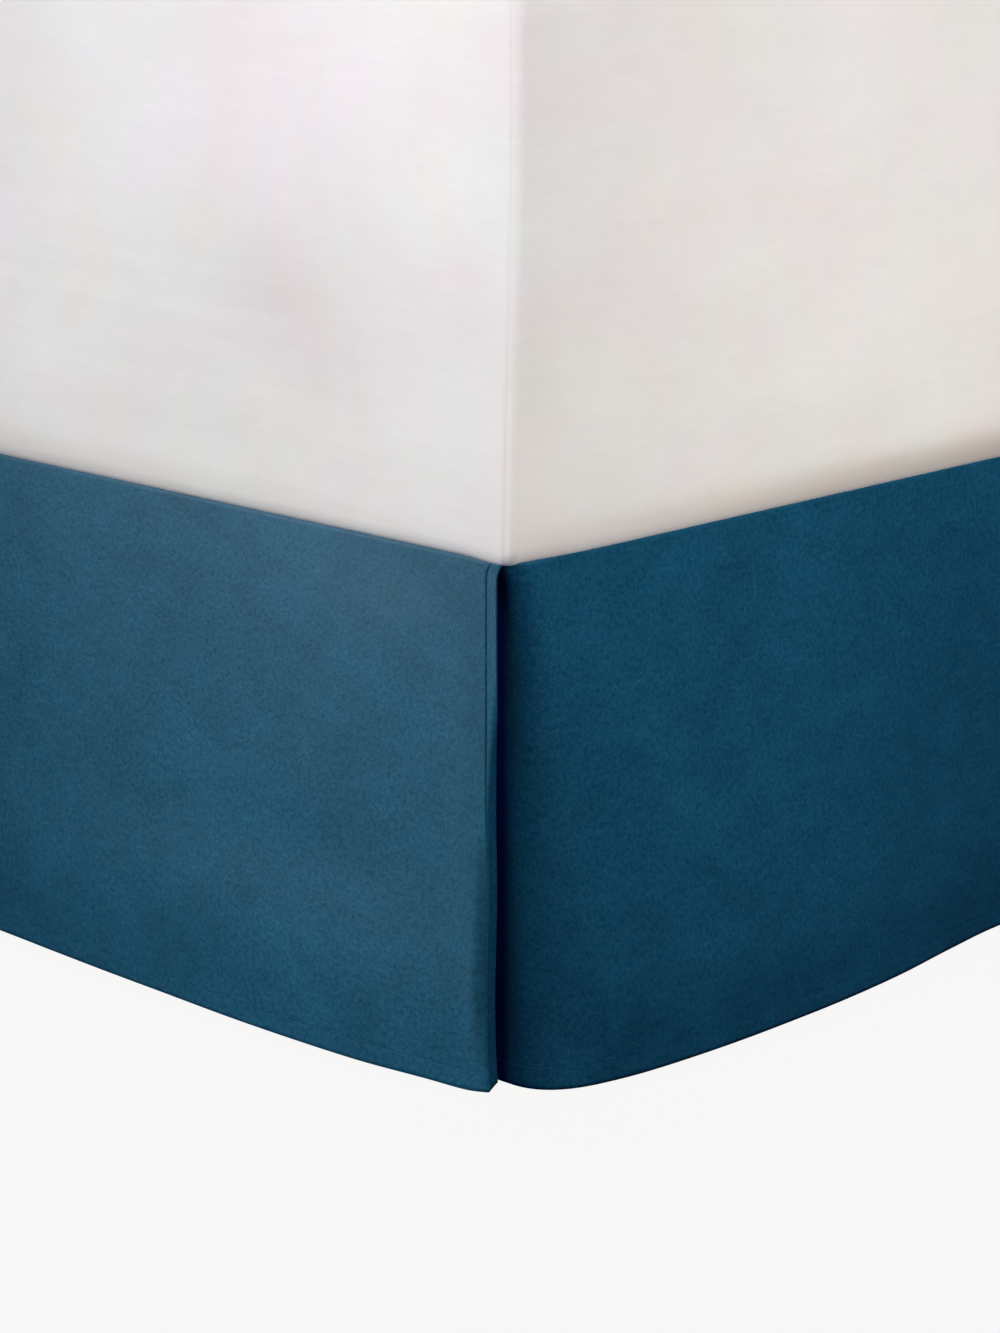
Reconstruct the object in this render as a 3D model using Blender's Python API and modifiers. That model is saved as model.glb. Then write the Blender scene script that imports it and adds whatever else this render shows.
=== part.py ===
"""Queen bed dressed with a split-corner bed skirt.

A plain deck cloth lies on the foundation and carries three flat drops: one across the foot
and one down each side.  Each side drop runs on round its foot corner and behind the foot
drop, whose ends are free.  The mattress, foundation and steel frame carry the cloth.

Metres, +Z up.  The origin is on the floor under the middle leg, the foot faces -Y.
"""
import math
from collections import namedtuple

import bmesh
import bpy
from mathutils import Vector

# Bed
BED_WIDTH = 1.524
BED_LENGTH = 2.032
MATTRESS_HEIGHT = 0.420
MATTRESS_EDGE = 0.014
MATTRESS_OVERHANG = 0.004
FOUNDATION_HEIGHT = 0.2286
FOUNDATION_INSET = 0.0075
FOUNDATION_CORNER = 0.060

# Skirt cloth
DROP = 0.381
HEM_CLEARANCE = 0.006
HEM_DEPTH = 0.015
SIDE_HEM = 0.0127
CLOTH = 0.0012
HEM_CLOTH = 0.0021
ALLOWANCE = 0.012
CORNER_ALLOWANCE = 0.005
FOLD_RADIUS = 0.0025
GAP = 0.0003

# Foot corner of the skirt, seen from above
CORNER_RADIUS = 0.018
FOOT_EDGE_TURN = math.radians(22)
FOOT_EDGE_ARC = CORNER_RADIUS * FOOT_EDGE_TURN
DECK_TURN = math.radians(41)
WRAP_LENGTH = 0.085
WRAP_RETURNS_BY = -0.052
WRAP_REST = 0.0035
UNDER_FOOT_RUN = 0.009
ALLOWANCE_TAPER = 0.040

# Free end of the foot drop: its side hem lies flat at the top and turns in lower down
HEM_TURN = math.radians(100)
TURN_STARTS = 0.13
TURN_ENDS = 0.37
TURN_ROLL = 0.004
ROLL_FADES_IN = 0.05
STRAIGHT_BY = 0.07
EDGE_LIFT = 0.004
LIFT_STARTS = 0.82
SLIP_ENDS = 0.045

# How a drop hangs: share of its hem's swing by level, and how far it stands out above its hem
FOOT_TUCK = 0.0030
SIDE_TUCK = 0.0048
Hang = namedtuple("Hang", "down share tuck")
HANG = (
    Hang(0.00, 0.000, 0.00),
    Hang(0.15, 0.165, 0.00),
    Hang(0.35, 0.385, 0.00),
    Hang(0.55, 0.600, 0.10),
    Hang(0.70, 0.755, 0.45),
    Hang(0.79, 0.845, 0.86),
    Hang(0.84, 0.890, 1.00),
    Hang(0.89, 0.930, 0.84),
    Hang(0.95, 0.970, 0.38),
    Hang(1.00, 1.000, 0.00),
)

# Steel frame
RAIL_HEIGHT = 0.038
RAIL_WIDTH = 0.025
SIDE_RAIL_X = 0.700
RAIL_LENGTH = 1.960
LEG_ROW_Y = 0.900
LEG_RADIUS = 0.016
GLIDE_RADIUS = 0.024
GLIDE_HEIGHT = 0.012
ROUND_SIDES = 16

# Heights
SEAM_Z = HEM_CLEARANCE + DROP
LAYER = CLOTH + GAP
DECK_BOTTOM = SEAM_Z + GAP
MATTRESS_BOTTOM = DECK_BOTTOM + CLOTH + GAP
FOUNDATION_TOP = SEAM_Z - 2 * LAYER
FOUNDATION_BOTTOM = FOUNDATION_TOP - FOUNDATION_HEIGHT
RAIL_TOP = FOUNDATION_BOTTOM - GAP
RAIL_BOTTOM = RAIL_TOP - RAIL_HEIGHT
CORNER = Vector((BED_WIDTH / 2, -BED_LENGTH / 2))

# How far the hem of the foot drop swings, and how far the cloth just under the seam slips
# back from the corner, by distance along the cloth from its free edge
FootFall = namedtuple("FootFall", "from_edge sideways outward slip")
FOOT_FALL = (
    FootFall(0.0127, 0.0150, 0.0229, 0.0090),
    FootFall(0.025, 0.0145, 0.0287, 0.0085),
    FootFall(0.060, 0.0130, 0.0313, 0.0060),
    FootFall(0.130, 0.0100, 0.0374, 0.0020),
    FootFall(0.240, 0.0070, 0.0363, 0.0000),
    FootFall(0.350, 0.0040, 0.0295, 0.0000),
    FootFall(0.470, 0.0010, 0.0207, 0.0000),
    FootFall(0.560, 0.0000, 0.0135, 0.0000),
    FootFall(0.660, 0.0000, 0.0105, 0.0000),
    FootFall(0.755, 0.0000, 0.0120, 0.0000),
)

# How far the hem of a side drop swings, by distance from the foot corner
SideFall = namedtuple("SideFall", "from_foot outward")
SIDE_FALL = (
    SideFall(0.020, 0.0280),
    SideFall(0.050, 0.0376),
    SideFall(0.095, 0.0436),
    SideFall(0.170, 0.0450),
    SideFall(0.260, 0.0405),
    SideFall(0.325, 0.0355),
    SideFall(0.395, 0.0265),
    SideFall(0.470, 0.0120),
    SideFall(0.548, -0.0003),
    SideFall(0.640, -0.0020),
    SideFall(0.820, 0.0120),
    SideFall(1.050, 0.0060),
    SideFall(1.300, 0.0140),
    SideFall(1.600, 0.0070),
    SideFall(1.850, 0.0120),
    SideFall(2.032, 0.0090),
)

# Where the side seam lies inside the straight bed edge near the corner
SeamInset = namedtuple("SeamInset", "from_foot inset")
SEAM_INSET = (
    SeamInset(0.0045, 0.0064),
    SeamInset(0.014, 0.0060),
    SeamInset(0.034, 0.0040),
    SeamInset(0.060, 0.0019),
    SeamInset(0.085, 0.0008),
    SeamInset(0.115, 0.0000),
)

# The bend of the side drop round the foot corner, by fraction of the drop from the seam
CornerBend = namedtuple("CornerBend", "down bend_start corner_out wrap_in bend_end")
CORNER_BENDS = (
    CornerBend(0.00, 0.016, -0.0063, 0.0017, -0.019),
    CornerBend(0.06, 0.018, -0.0060, 0.0050, -0.020),
    CornerBend(0.35, 0.026, 0.0050, 0.0100, -0.016),
    CornerBend(0.65, 0.038, 0.0160, 0.0080, -0.010),
    CornerBend(1.00, 0.052, 0.0300, 0.0025, -0.005),
)

# Rows of the cloth mesh, as fractions of the drop, and its columns along the cloth
FOLD_FRACTION = FOLD_RADIUS / DROP
HEM_FRACTION = 1 - HEM_DEPTH / DROP
HEM_STEP = 0.002
DROP_ROWS = (FOLD_FRACTION, 0.03, 0.07, 0.15, 0.23, 0.31, 0.38, 0.50, 0.62, 0.74, 0.84,
             0.90, HEM_FRACTION - HEM_STEP, HEM_FRACTION, 1.0)
HEM_ROWS = 2
FOLD_ANGLES = (0.0, math.radians(45))
FOOT_COLUMNS = (0.0, 0.0042, 0.0085, 0.0127, 0.018, 0.026, 0.040, 0.060, 0.090, 0.130, 0.185,
                0.240, 0.300, 0.360, 0.430, 0.500, 0.580, 0.665)
SIDE_STEPS = 22
BEND_STEPS = 12
WRAP_STEPS = 3
BEND_BEFORE = 0.060
BEND_AFTER = 0.030

# Steps of the plan curves that the columns are read from
STRAIGHT_STEPS = 80
CURVE_STEPS = 16
RETURN_STEPS = 6
HEM_TURN_STEPS = 12
DECK_CORNER_STEPS = 4

# Colours
SKIRT_TEAL = (0.026, 0.095, 0.145)
SHEET_WHITE = (0.78, 0.76, 0.74)
TICKING_WHITE = (0.74, 0.73, 0.70)
STEEL_BLACK = (0.03, 0.03, 0.032)
GLIDE_BLACK = (0.02, 0.02, 0.02)


def smooth_lookup(table, at, column):
    """Value of a named column at a place along the table, on a smooth curve through its rows."""
    places = [row[0] for row in table]
    values = [getattr(row, column) for row in table]
    if at <= places[0]:
        return values[0]
    if at >= places[-1]:
        return values[-1]
    low = max(index for index, place in enumerate(places) if place <= at)

    def slope(index):
        before = max(index - 1, 0)
        after = min(index + 1, len(places) - 1)
        return (values[after] - values[before]) / (places[after] - places[before])

    span = places[low + 1] - places[low]
    part = (at - places[low]) / span
    rise = values[low + 1] - values[low]
    start = slope(low) * span
    end = slope(low + 1) * span
    bend = 3 * rise - 2 * start - end
    twist = start + end - 2 * rise
    return values[low] + part * (start + part * (bend + part * twist))


def smooth_step(low, high, value):
    """0 below low, 1 above high, and an even S-curve between."""
    part = min(max((value - low) / (high - low), 0.0), 1.0)
    return part * part * (3 - 2 * part)


def hang(down, outward, tuck):
    """How far out the cloth stands at this fraction of the drop, for its hem's swing."""
    return smooth_lookup(HANG, down, "share") * outward + smooth_lookup(HANG, down, "tuck") * tuck


def foot_seam_point(from_edge):
    """Plan point of the foot seam, counted from the foot corner, at a distance along the cloth."""
    if from_edge >= FOOT_EDGE_ARC:
        return Vector((-CORNER_RADIUS - (from_edge - FOOT_EDGE_ARC), 0.0))
    turn = (FOOT_EDGE_ARC - from_edge) / CORNER_RADIUS
    return Vector((math.sin(turn) - 1, 1 - math.cos(turn))) * CORNER_RADIUS


def foot_cloth_point(from_edge, down):
    """Point on the outside of the foot drop: plan place from the foot corner, and height."""
    panel = max(from_edge, SIDE_HEM)
    place = foot_seam_point(panel)
    sideways, outward, slip = [smooth_lookup(FOOT_FALL, panel, column)
                               for column in FootFall._fields[1:]]
    place.x += (sideways + slip) * down - slip * smooth_step(0.0, SLIP_ENDS, down)
    place.y -= hang(down, outward, FOOT_TUCK)
    beyond = panel - from_edge
    if beyond > 0:
        place += side_hem_offset(beyond, down)
    lift = EDGE_LIFT * beyond / SIDE_HEM * smooth_step(LIFT_STARTS, 1.0, down)
    return place, SEAM_Z - DROP * down + lift


def side_hem_offset(beyond, down):
    """Plan offset past the stitch line of the side hem, which rolls inward lower down."""
    step = beyond / HEM_TURN_STEPS
    flat = SIDE_HEM * (1 - smooth_step(TURN_STARTS, TURN_ENDS, down))
    at_seam = 1 - smooth_step(0.0, STRAIGHT_BY, down)
    rolled = smooth_step(TURN_STARTS, TURN_STARTS + ROLL_FADES_IN, down)
    offset = Vector((0.0, 0.0))
    for index in range(HEM_TURN_STEPS):
        reach = (index + 0.5) * step
        round_corner = smooth_step(SIDE_HEM - FOOT_EDGE_ARC, SIDE_HEM, reach)
        heading = FOOT_EDGE_TURN * at_seam * round_corner
        heading += HEM_TURN * rolled * smooth_step(flat - TURN_ROLL, flat + TURN_ROLL, reach)
        offset += Vector((math.cos(heading), math.sin(heading))) * step
    return offset


def side_outline(down):
    """Plan outline of the side drop at one level, from the head end to the end of the wrap."""
    bend = [smooth_lookup(CORNER_BENDS, down, column) for column in CornerBend._fields[1:]]
    bend_start, corner_out, wrap_in, bend_end = bend

    def side_x(from_foot):
        inset = smooth_lookup(SEAM_INSET, from_foot, "inset") * (1 - down)
        return hang(down, smooth_lookup(SIDE_FALL, from_foot, "outward"), SIDE_TUCK) - inset

    outline = []
    for index in range(STRAIGHT_STEPS + 1):
        from_foot = BED_LENGTH + (bend_start - BED_LENGTH) * index / STRAIGHT_STEPS
        outline.append(Vector((side_x(from_foot), from_foot)))
    start = outline[-1]
    middle = Vector((corner_out, wrap_in))
    end = Vector((bend_end, wrap_in))
    for index in range(1, CURVE_STEPS + 1):
        part = index / CURVE_STEPS
        outline.append(start.lerp(middle, part).lerp(middle.lerp(end, part), part))
    for index in range(1, RETURN_STEPS + 1):
        part = index / RETURN_STEPS
        outline.append(Vector((bend_end + (WRAP_RETURNS_BY - bend_end) * part,
                               wrap_in + (WRAP_REST - wrap_in) * smooth_step(0.0, 1.0, part))))
    outline.append(end - Vector((WRAP_LENGTH, wrap_in - WRAP_REST)))
    return outline


def walk_outline(outline, distances):
    """Plan points at the given distances along an outline."""
    points = []
    start = 0.0
    index = 0
    for distance in distances:
        while index < len(outline) - 2:
            length = (outline[index + 1] - outline[index]).length
            if start + length >= distance:
                break
            start += length
            index += 1
        direction = (outline[index + 1] - outline[index]).normalized()
        points.append(outline[index] + direction * (distance - start))
    return points


def side_columns():
    """Distances along the side drop from the head end: even, then close in the bend."""
    bend_begins = BED_LENGTH - BEND_BEFORE
    bend_ends = BED_LENGTH + BEND_AFTER
    columns = [0.0, SIDE_HEM]
    columns += [bend_begins * index / SIDE_STEPS for index in range(1, SIDE_STEPS)]
    columns += [bend_begins + (bend_ends - bend_begins) * index / BEND_STEPS
                for index in range(BEND_STEPS + 1)]
    wrap_ends = BED_LENGTH + WRAP_LENGTH
    columns += [bend_ends + (wrap_ends - bend_ends) * index / WRAP_STEPS
                for index in range(1, WRAP_STEPS + 1)]
    return columns


def inward_normals(points):
    """Unit plan directions to the left of the way the points run."""
    normals = []
    for index in range(len(points)):
        before = points[max(index - 1, 0)]
        after = points[min(index + 1, len(points) - 1)]
        along = (after - before).normalized()
        normals.append(Vector((-along.y, along.x)))
    return normals


def fold_rows(seam, normals, allowances, heights):
    """Rows of the seam allowance and the fold that joins it to the drop, inner edge first."""
    rows = [[(point + normal * allowance, height)
             for point, normal, allowance, height in zip(seam, normals, allowances, heights)]]
    for angle in FOLD_ANGLES:
        back = FOLD_RADIUS * (1 - math.sin(angle))
        below = FOLD_RADIUS * (1 - math.cos(angle))
        rows.append([(point + normal * back, height - below)
                     for point, normal, height in zip(seam, normals, heights)])
    return rows


def foot_rows():
    """Grid of half the foot drop, from the bed's middle to the free edge at +X."""
    half_length = FOOT_EDGE_ARC + BED_WIDTH / 2 - CORNER_RADIUS
    columns = [half_length, *reversed(FOOT_COLUMNS)]
    seam = [foot_seam_point(column) for column in columns]
    normals = inward_normals(seam)
    rows = fold_rows(seam, normals, [ALLOWANCE] * len(seam), [SEAM_Z] * len(seam))
    for down in DROP_ROWS:
        rows.append([foot_cloth_point(column, down) for column in columns])
    for row in rows:
        row[0][0].x = -BED_WIDTH / 2
    return rows


def side_rows():
    """Grid of a side drop at +X, from the end of the wrap to the head end."""
    columns = side_columns()
    seam = walk_outline(side_outline(0.0), columns)
    normals = [-normal for normal in inward_normals(seam)]
    bend_begins = BED_LENGTH - CORNER_BENDS[0].bend_start
    under_foot = [smooth_step(bend_begins, bend_begins + UNDER_FOOT_RUN, column)
                  for column in columns]
    near_corner = [smooth_step(bend_begins - ALLOWANCE_TAPER, bend_begins, column)
                   for column in columns]
    allowances = [ALLOWANCE + (CORNER_ALLOWANCE - ALLOWANCE) * near for near in near_corner]
    heights = [SEAM_Z - LAYER * under for under in under_foot]
    rows = fold_rows(seam, normals, allowances, heights)
    for down in DROP_ROWS:
        points = walk_outline(side_outline(down), columns)
        rows.append([(point, SEAM_Z - DROP * down - LAYER * under * (1 - down))
                     for point, under in zip(points, under_foot)])
    return [list(reversed(row)) for row in rows]


def paint(part, name, colour, roughness, metallic=0.0):
    """Give a part its own plain material."""
    material = bpy.data.materials.new(name)
    material.use_nodes = True
    shader = material.node_tree.nodes["Principled BSDF"]
    shader.inputs["Base Color"].default_value = (*colour, 1.0)
    shader.inputs["Roughness"].default_value = roughness
    shader.inputs["Metallic"].default_value = metallic
    part.data.materials.append(material)


def object_from(shape, name, collection):
    """Turn a bmesh into a named object in the collection."""
    mesh = bpy.data.meshes.new(name)
    shape.to_mesh(mesh)
    shape.free()
    part = bpy.data.objects.new(name, mesh)
    collection.objects.link(part)
    return part


def thicken(part, thickness, thin_share=1.0, thin_group=""):
    """Grow a sheet inward from its outer face."""
    solid = part.modifiers.new("thickness", "SOLIDIFY")
    solid.thickness = thickness
    solid.offset = -1.0
    solid.use_even_offset = True
    if thin_group:
        solid.vertex_group = thin_group
        solid.thickness_vertex_group = thin_share


def cloth_object(name, rows, side, collection):
    """Sheet through a grid of points; the lowest rows are a doubled hem."""
    shape = bmesh.new()
    grid = []
    for row in rows:
        grid.append([shape.verts.new((side * (CORNER.x + plan.x), CORNER.y + plan.y, height))
                     for plan, height in row])
    for upper, lower in zip(grid, grid[1:]):
        for index in range(len(upper) - 1):
            corners = (upper[index], lower[index], lower[index + 1], upper[index + 1])
            shape.faces.new(corners if side > 0 else corners[::-1])
    part = object_from(shape, name, collection)
    group = part.vertex_groups.new(name="hem")
    columns = len(rows[0])
    group.add(range((len(rows) - HEM_ROWS) * columns, len(rows) * columns), 1.0, "REPLACE")
    part.data.shade_smooth()
    return part


def make_foot_drop(collection):
    """One flat drop across the foot, the same both ways from the middle."""
    part = cloth_object("foot_drop", foot_rows(), 1, collection)
    mirror = part.modifiers.new("other half", "MIRROR")
    mirror.merge_threshold = 0.0001
    thicken(part, HEM_CLOTH, CLOTH / HEM_CLOTH, "hem")
    paint(part, "skirt cloth", SKIRT_TEAL, 0.9)


def make_side_drops(collection):
    """A flat drop down each side, running on round its foot corner."""
    for name, side in (("side_drop_right", 1), ("side_drop_left", -1)):
        part = cloth_object(name, side_rows(), side, collection)
        thicken(part, HEM_CLOTH, CLOTH / HEM_CLOTH, "hem")
        paint(part, name + " cloth", SKIRT_TEAL, 0.9)


def deck_edge():
    """Plan outline of the deck at the +X side, foot corner to head corner."""
    radius = CORNER_RADIUS - FOLD_RADIUS
    centre = Vector((-CORNER_RADIUS, CORNER_RADIUS))
    edge = []
    for index in range(DECK_CORNER_STEPS + 1):
        turn = DECK_TURN * index / DECK_CORNER_STEPS
        edge.append(centre + Vector((math.sin(turn), -math.cos(turn))) * radius)
    for row in SEAM_INSET[1:]:
        edge.append(Vector((-row.inset - FOLD_RADIUS, row.from_foot)))
    head = Vector((-CORNER_RADIUS, BED_LENGTH - CORNER_RADIUS))
    for index in range(DECK_CORNER_STEPS + 1):
        turn = math.radians(90) * index / DECK_CORNER_STEPS
        edge.append(head + Vector((math.cos(turn), math.sin(turn))) * radius)
    return edge


def make_deck(collection):
    """Flat deck cloth, laid on the foundation over the drops' seam allowances."""
    shape = bmesh.new()
    right = [(CORNER.x + plan.x, CORNER.y + plan.y) for plan in deck_edge()]
    left = [(-x, y) for x, y in reversed(right)]
    deck_top = DECK_BOTTOM + CLOTH
    shape.faces.new([shape.verts.new((x, y, deck_top)) for x, y in right + left])
    part = object_from(shape, "deck", collection)
    thicken(part, CLOTH)
    paint(part, "deck cloth", SKIRT_TEAL, 0.9)


def rounded_box(name, size, bottom, collection, is_rounded, radius, segments):
    """Box centred over the origin, with the chosen edges rounded."""
    shape = bmesh.new()
    bmesh.ops.create_cube(shape, size=1.0)
    bmesh.ops.scale(shape, vec=size, verts=shape.verts)
    bmesh.ops.translate(shape, vec=(0, 0, bottom + size.z / 2), verts=shape.verts)
    edges = [edge for edge in shape.edges if is_rounded(edge)]
    bmesh.ops.bevel(shape, geom=edges, offset=radius, segments=segments, profile=0.5,
                    affect="EDGES", clamp_overlap=True)
    return object_from(shape, name, collection)


def is_upright(edge):
    """Whether a box edge runs up and down."""
    first, second = edge.verts
    return abs(first.co.z - second.co.z) > GAP


def make_mattress(collection):
    """Plain mattress in its sheet."""
    size = Vector((BED_WIDTH + 2 * MATTRESS_OVERHANG, BED_LENGTH + 2 * MATTRESS_OVERHANG,
                   MATTRESS_HEIGHT))
    part = rounded_box("mattress", size, MATTRESS_BOTTOM, collection,
                       lambda edge: True, MATTRESS_EDGE, 3)
    paint(part, "sheet cotton", SHEET_WHITE, 0.85)


def make_foundation(collection):
    """Box foundation with rounded upright corners."""
    size = Vector((BED_WIDTH - 2 * FOUNDATION_INSET, BED_LENGTH - 2 * FOUNDATION_INSET,
                   FOUNDATION_HEIGHT))
    part = rounded_box("foundation", size, FOUNDATION_BOTTOM, collection,
                       is_upright, FOUNDATION_CORNER, 6)
    paint(part, "foundation ticking", TICKING_WHITE, 0.9)


def box(name, size, centre, collection):
    """Plain bar of the steel frame."""
    shape = bmesh.new()
    bmesh.ops.create_cube(shape, size=1.0)
    bmesh.ops.scale(shape, vec=size, verts=shape.verts)
    part = object_from(shape, name, collection)
    part.location = centre
    return part


def round_post(name, radius, height, centre, collection):
    """Upright round piece of the steel frame."""
    shape = bmesh.new()
    bmesh.ops.create_cone(shape, cap_ends=True, segments=ROUND_SIDES, radius1=radius,
                          radius2=radius, depth=height)
    part = object_from(shape, name, collection)
    part.location = centre
    part.data.shade_smooth()
    part.data.set_sharp_from_angle(angle=math.radians(40))
    return part


def make_rails(collection):
    """Two side rails and three cross rails between them."""
    rail_z = RAIL_BOTTOM + RAIL_HEIGHT / 2
    for name, side in (("rail_right", 1), ("rail_left", -1)):
        part = box(name, (RAIL_WIDTH, RAIL_LENGTH, RAIL_HEIGHT), (side * SIDE_RAIL_X, 0, rail_z),
                   collection)
        paint(part, name + " steel", STEEL_BLACK, 0.5, 0.6)
    cross_length = 2 * SIDE_RAIL_X - RAIL_WIDTH - 2 * GAP
    for name, row in (("cross_rail_foot", -1), ("cross_rail_middle", 0), ("cross_rail_head", 1)):
        part = box(name, (cross_length, RAIL_WIDTH, RAIL_HEIGHT), (0, row * LEG_ROW_Y, rail_z),
                   collection)
        paint(part, name + " steel", STEEL_BLACK, 0.5, 0.6)


def make_legs(collection):
    """Three rows of legs, each on its own glide."""
    leg_top = RAIL_BOTTOM - GAP
    leg_bottom = GLIDE_HEIGHT + GAP
    height = leg_top - leg_bottom
    for row_name, row in (("foot", -1), ("middle", 0), ("head", 1)):
        for column_name, column in (("left", -1), ("centre", 0), ("right", 1)):
            place = Vector((column * SIDE_RAIL_X, row * LEG_ROW_Y, 0.0))
            name = f"{row_name}_{column_name}"
            leg = round_post("leg_" + name, LEG_RADIUS, height,
                             place + Vector((0, 0, leg_bottom + height / 2)), collection)
            paint(leg, "leg steel " + name, STEEL_BLACK, 0.5, 0.6)
            glide = round_post("glide_" + name, GLIDE_RADIUS, GLIDE_HEIGHT,
                               place + Vector((0, 0, GLIDE_HEIGHT / 2)), collection)
            paint(glide, "glide plastic " + name, GLIDE_BLACK, 0.6)


def main():
    """Clear the scene and build the dressed bed."""
    for old in list(bpy.data.objects):
        bpy.data.objects.remove(old, do_unlink=True)
    collection = bpy.data.collections.new("bed skirt on a bed")
    bpy.context.scene.collection.children.link(collection)
    make_foot_drop(collection)
    make_side_drops(collection)
    make_deck(collection)
    make_mattress(collection)
    make_foundation(collection)
    make_rails(collection)
    make_legs(collection)


main()
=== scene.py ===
"""The finished look of a queen bed dressed with a split-corner bed skirt.

Metres, +Z up.  The origin is on the floor under the middle leg and the foot faces -Y.
"""
import math
from collections import namedtuple

import bmesh
import bpy
from mathutils import Matrix, Vector, noise


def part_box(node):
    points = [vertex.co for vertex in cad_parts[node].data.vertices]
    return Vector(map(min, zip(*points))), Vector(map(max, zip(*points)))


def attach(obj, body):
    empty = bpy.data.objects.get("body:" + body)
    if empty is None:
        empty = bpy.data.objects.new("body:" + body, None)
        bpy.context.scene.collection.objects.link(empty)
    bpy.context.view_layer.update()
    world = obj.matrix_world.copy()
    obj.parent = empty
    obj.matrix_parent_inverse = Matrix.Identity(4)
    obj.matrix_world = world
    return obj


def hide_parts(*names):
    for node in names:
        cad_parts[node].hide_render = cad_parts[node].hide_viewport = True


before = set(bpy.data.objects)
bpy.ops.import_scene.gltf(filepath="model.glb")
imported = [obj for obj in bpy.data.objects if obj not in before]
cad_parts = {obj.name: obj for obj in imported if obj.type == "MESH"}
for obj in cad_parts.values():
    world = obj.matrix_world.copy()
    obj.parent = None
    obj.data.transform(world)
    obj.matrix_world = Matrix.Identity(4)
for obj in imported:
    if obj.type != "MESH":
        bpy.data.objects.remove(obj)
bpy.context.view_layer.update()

# Bed and skirt sizes
BED_WIDTH = 1.524
BED_LENGTH = 2.032
DROP = 0.381
HEM_CLEARANCE = 0.006
HEM_DEPTH = 0.015
SIDE_HEM = 0.0098
SEAM_Z = HEM_CLEARANCE + DROP
CORNER = Vector((BED_WIDTH / 2, -BED_LENGTH / 2))

# Top seam: its rounded foot corners, seam allowance and fold
CORNER_RADIUS = 0.018
FOOT_EDGE_TURN = math.radians(22)
FOOT_EDGE_ARC = CORNER_RADIUS * FOOT_EDGE_TURN
FOOT_HALF = FOOT_EDGE_ARC + BED_WIDTH / 2 - CORNER_RADIUS
DECK_TURN = 41
DECK_CORNER_STEPS = 8
ALLOWANCE = 0.012
CORNER_ALLOWANCE = 0.005
ALLOWANCE_TAPER = 0.040
FOLD_RADIUS = 0.0025
FOLD_ARC = 0.004
FOLD_STEPS = 5

# Free ends of the foot drop: the hemmed strip turns to face the side, lifts and slips along
HEM_TURN = math.radians(91)
STRIP_STEP = 0.0006
TURN_STARTS = 0.12
TURN_ENDS = 0.52
SOFT_ROLL = 0.0055
TURN_ROLL = 0.0020
ROLL_FADES_IN = 0.20
STRAIGHT_BY = 0.05
EDGE_LIFT = 0.0058
LIFT_STARTS = 0.82
SLIP_ENDS = 0.036

# Run of the side drops behind the foot drop
WRAP_LENGTH = 0.085
WRAP_RETURNS_BY = -0.052
WRAP_REST = 0.0035
UNDER_FOOT_RUN = 0.009
LAYER = 0.0015
SIDE_STEPS = 240
BEND_STEPS = 32
WRAP_STEPS = 12

# Cloth: thicknesses, grooves of the stitching and the hem's slight puff
CLOTH = 0.0007
DECK_CLOTH = 0.0005
HEM_CLOTH = 0.0015
GROOVE_HALF = 0.0009
SIDE_GROOVE = 0.0009
HEAD_GROOVE = 0.00054
HEM_GROOVE = 0.00012
GROOVE_BEGINS = 0.02
HEM_PUFF = 0.00012
PUFF_RISES = (0.001, -0.004)
DROP_RIPPLE = 0.0005
RIPPLES_ALONG = 9.0
RIPPLES_DOWN = 3.0
RIPPLE_SHIFT = 50
FORMS_BEGIN = (0.02, 0.16)

# Soft hollow beside the free ends of the foot drop, and the levels where it forms and fades
SIDE_FALL_IN = 0.0022
FALL_IN_REACH = 0.0105
HOLLOW_IN = 0.0032
HOLLOW_HALF = 0.0046
HOLLOW_FORMS = (0.38, 0.66)
HOLLOW_FADES = (0.84, 0.97)
HOLLOW_LOSS = 0.75

# Shade painted into the cloth's colour: in the hollow, over the free ends, in the stitch line, in
# the slit
HOLLOW_SHADE = 0.52
END_SHADE = 0.19
END_SHADE_IN = 0.008
END_SHADE_HALF = 0.017
END_SHADE_DOWN = 0.42
END_SHADE_REACH = 0.30
SEAM_SHADE = 0.80
SEAM_SHADE_HALF = 0.0007
LINE_FADES = (0.48, 0.62)
LINE_LOSS = 0.7
SHADE_BEGINS = 0.010
SLIT_BEGINS = 0.012
SLIT_REACH = 0.10
SLIT_DARK = -0.0135
SLIT_CLEAR = -0.0020

# Stitches
THREAD_RADIUS = 0.00022
THREAD_SIDES = 6
STITCH_LENGTH = 0.0023
STITCH_PITCH = 0.0031
STITCH_PROUD = 0.00012
STITCH_LEVELS = 120
STITCH_LINE_STEP = 0.006
HEM_LINE_START = SIDE_HEM + 0.002
HEM_LINE_WRAP = 0.06

# Spacing of the cloth's mesh: each leg's end and its step, as shares of the drop going down,
# and in metres along the foot drop to its middle and along the side drops from the head
HEM_LINE = 1 - HEM_DEPTH / DROP
NEAR_HEM = 0.0028 / DROP
NEAR_SEAM = 0.0024
Leg = namedtuple("Leg", "end step")
DOWN_LEGS = (
    Leg(0.06, 0.0018 / DROP),
    Leg(0.20, 0.0045 / DROP),
    Leg(HEM_LINE - NEAR_HEM, 0.0068 / DROP),
    Leg(HEM_LINE + NEAR_HEM, 0.0006 / DROP),
    Leg(1.0, 0.0028 / DROP),
)
FOOT_LEGS = (
    Leg(SIDE_HEM - NEAR_SEAM, 0.0009),
    Leg(SIDE_HEM + NEAR_SEAM, 0.0004),
    Leg(0.040, 0.0028),
    Leg(0.30, 0.0068),
    Leg(FOOT_HALF, 0.0095),
)
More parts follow.
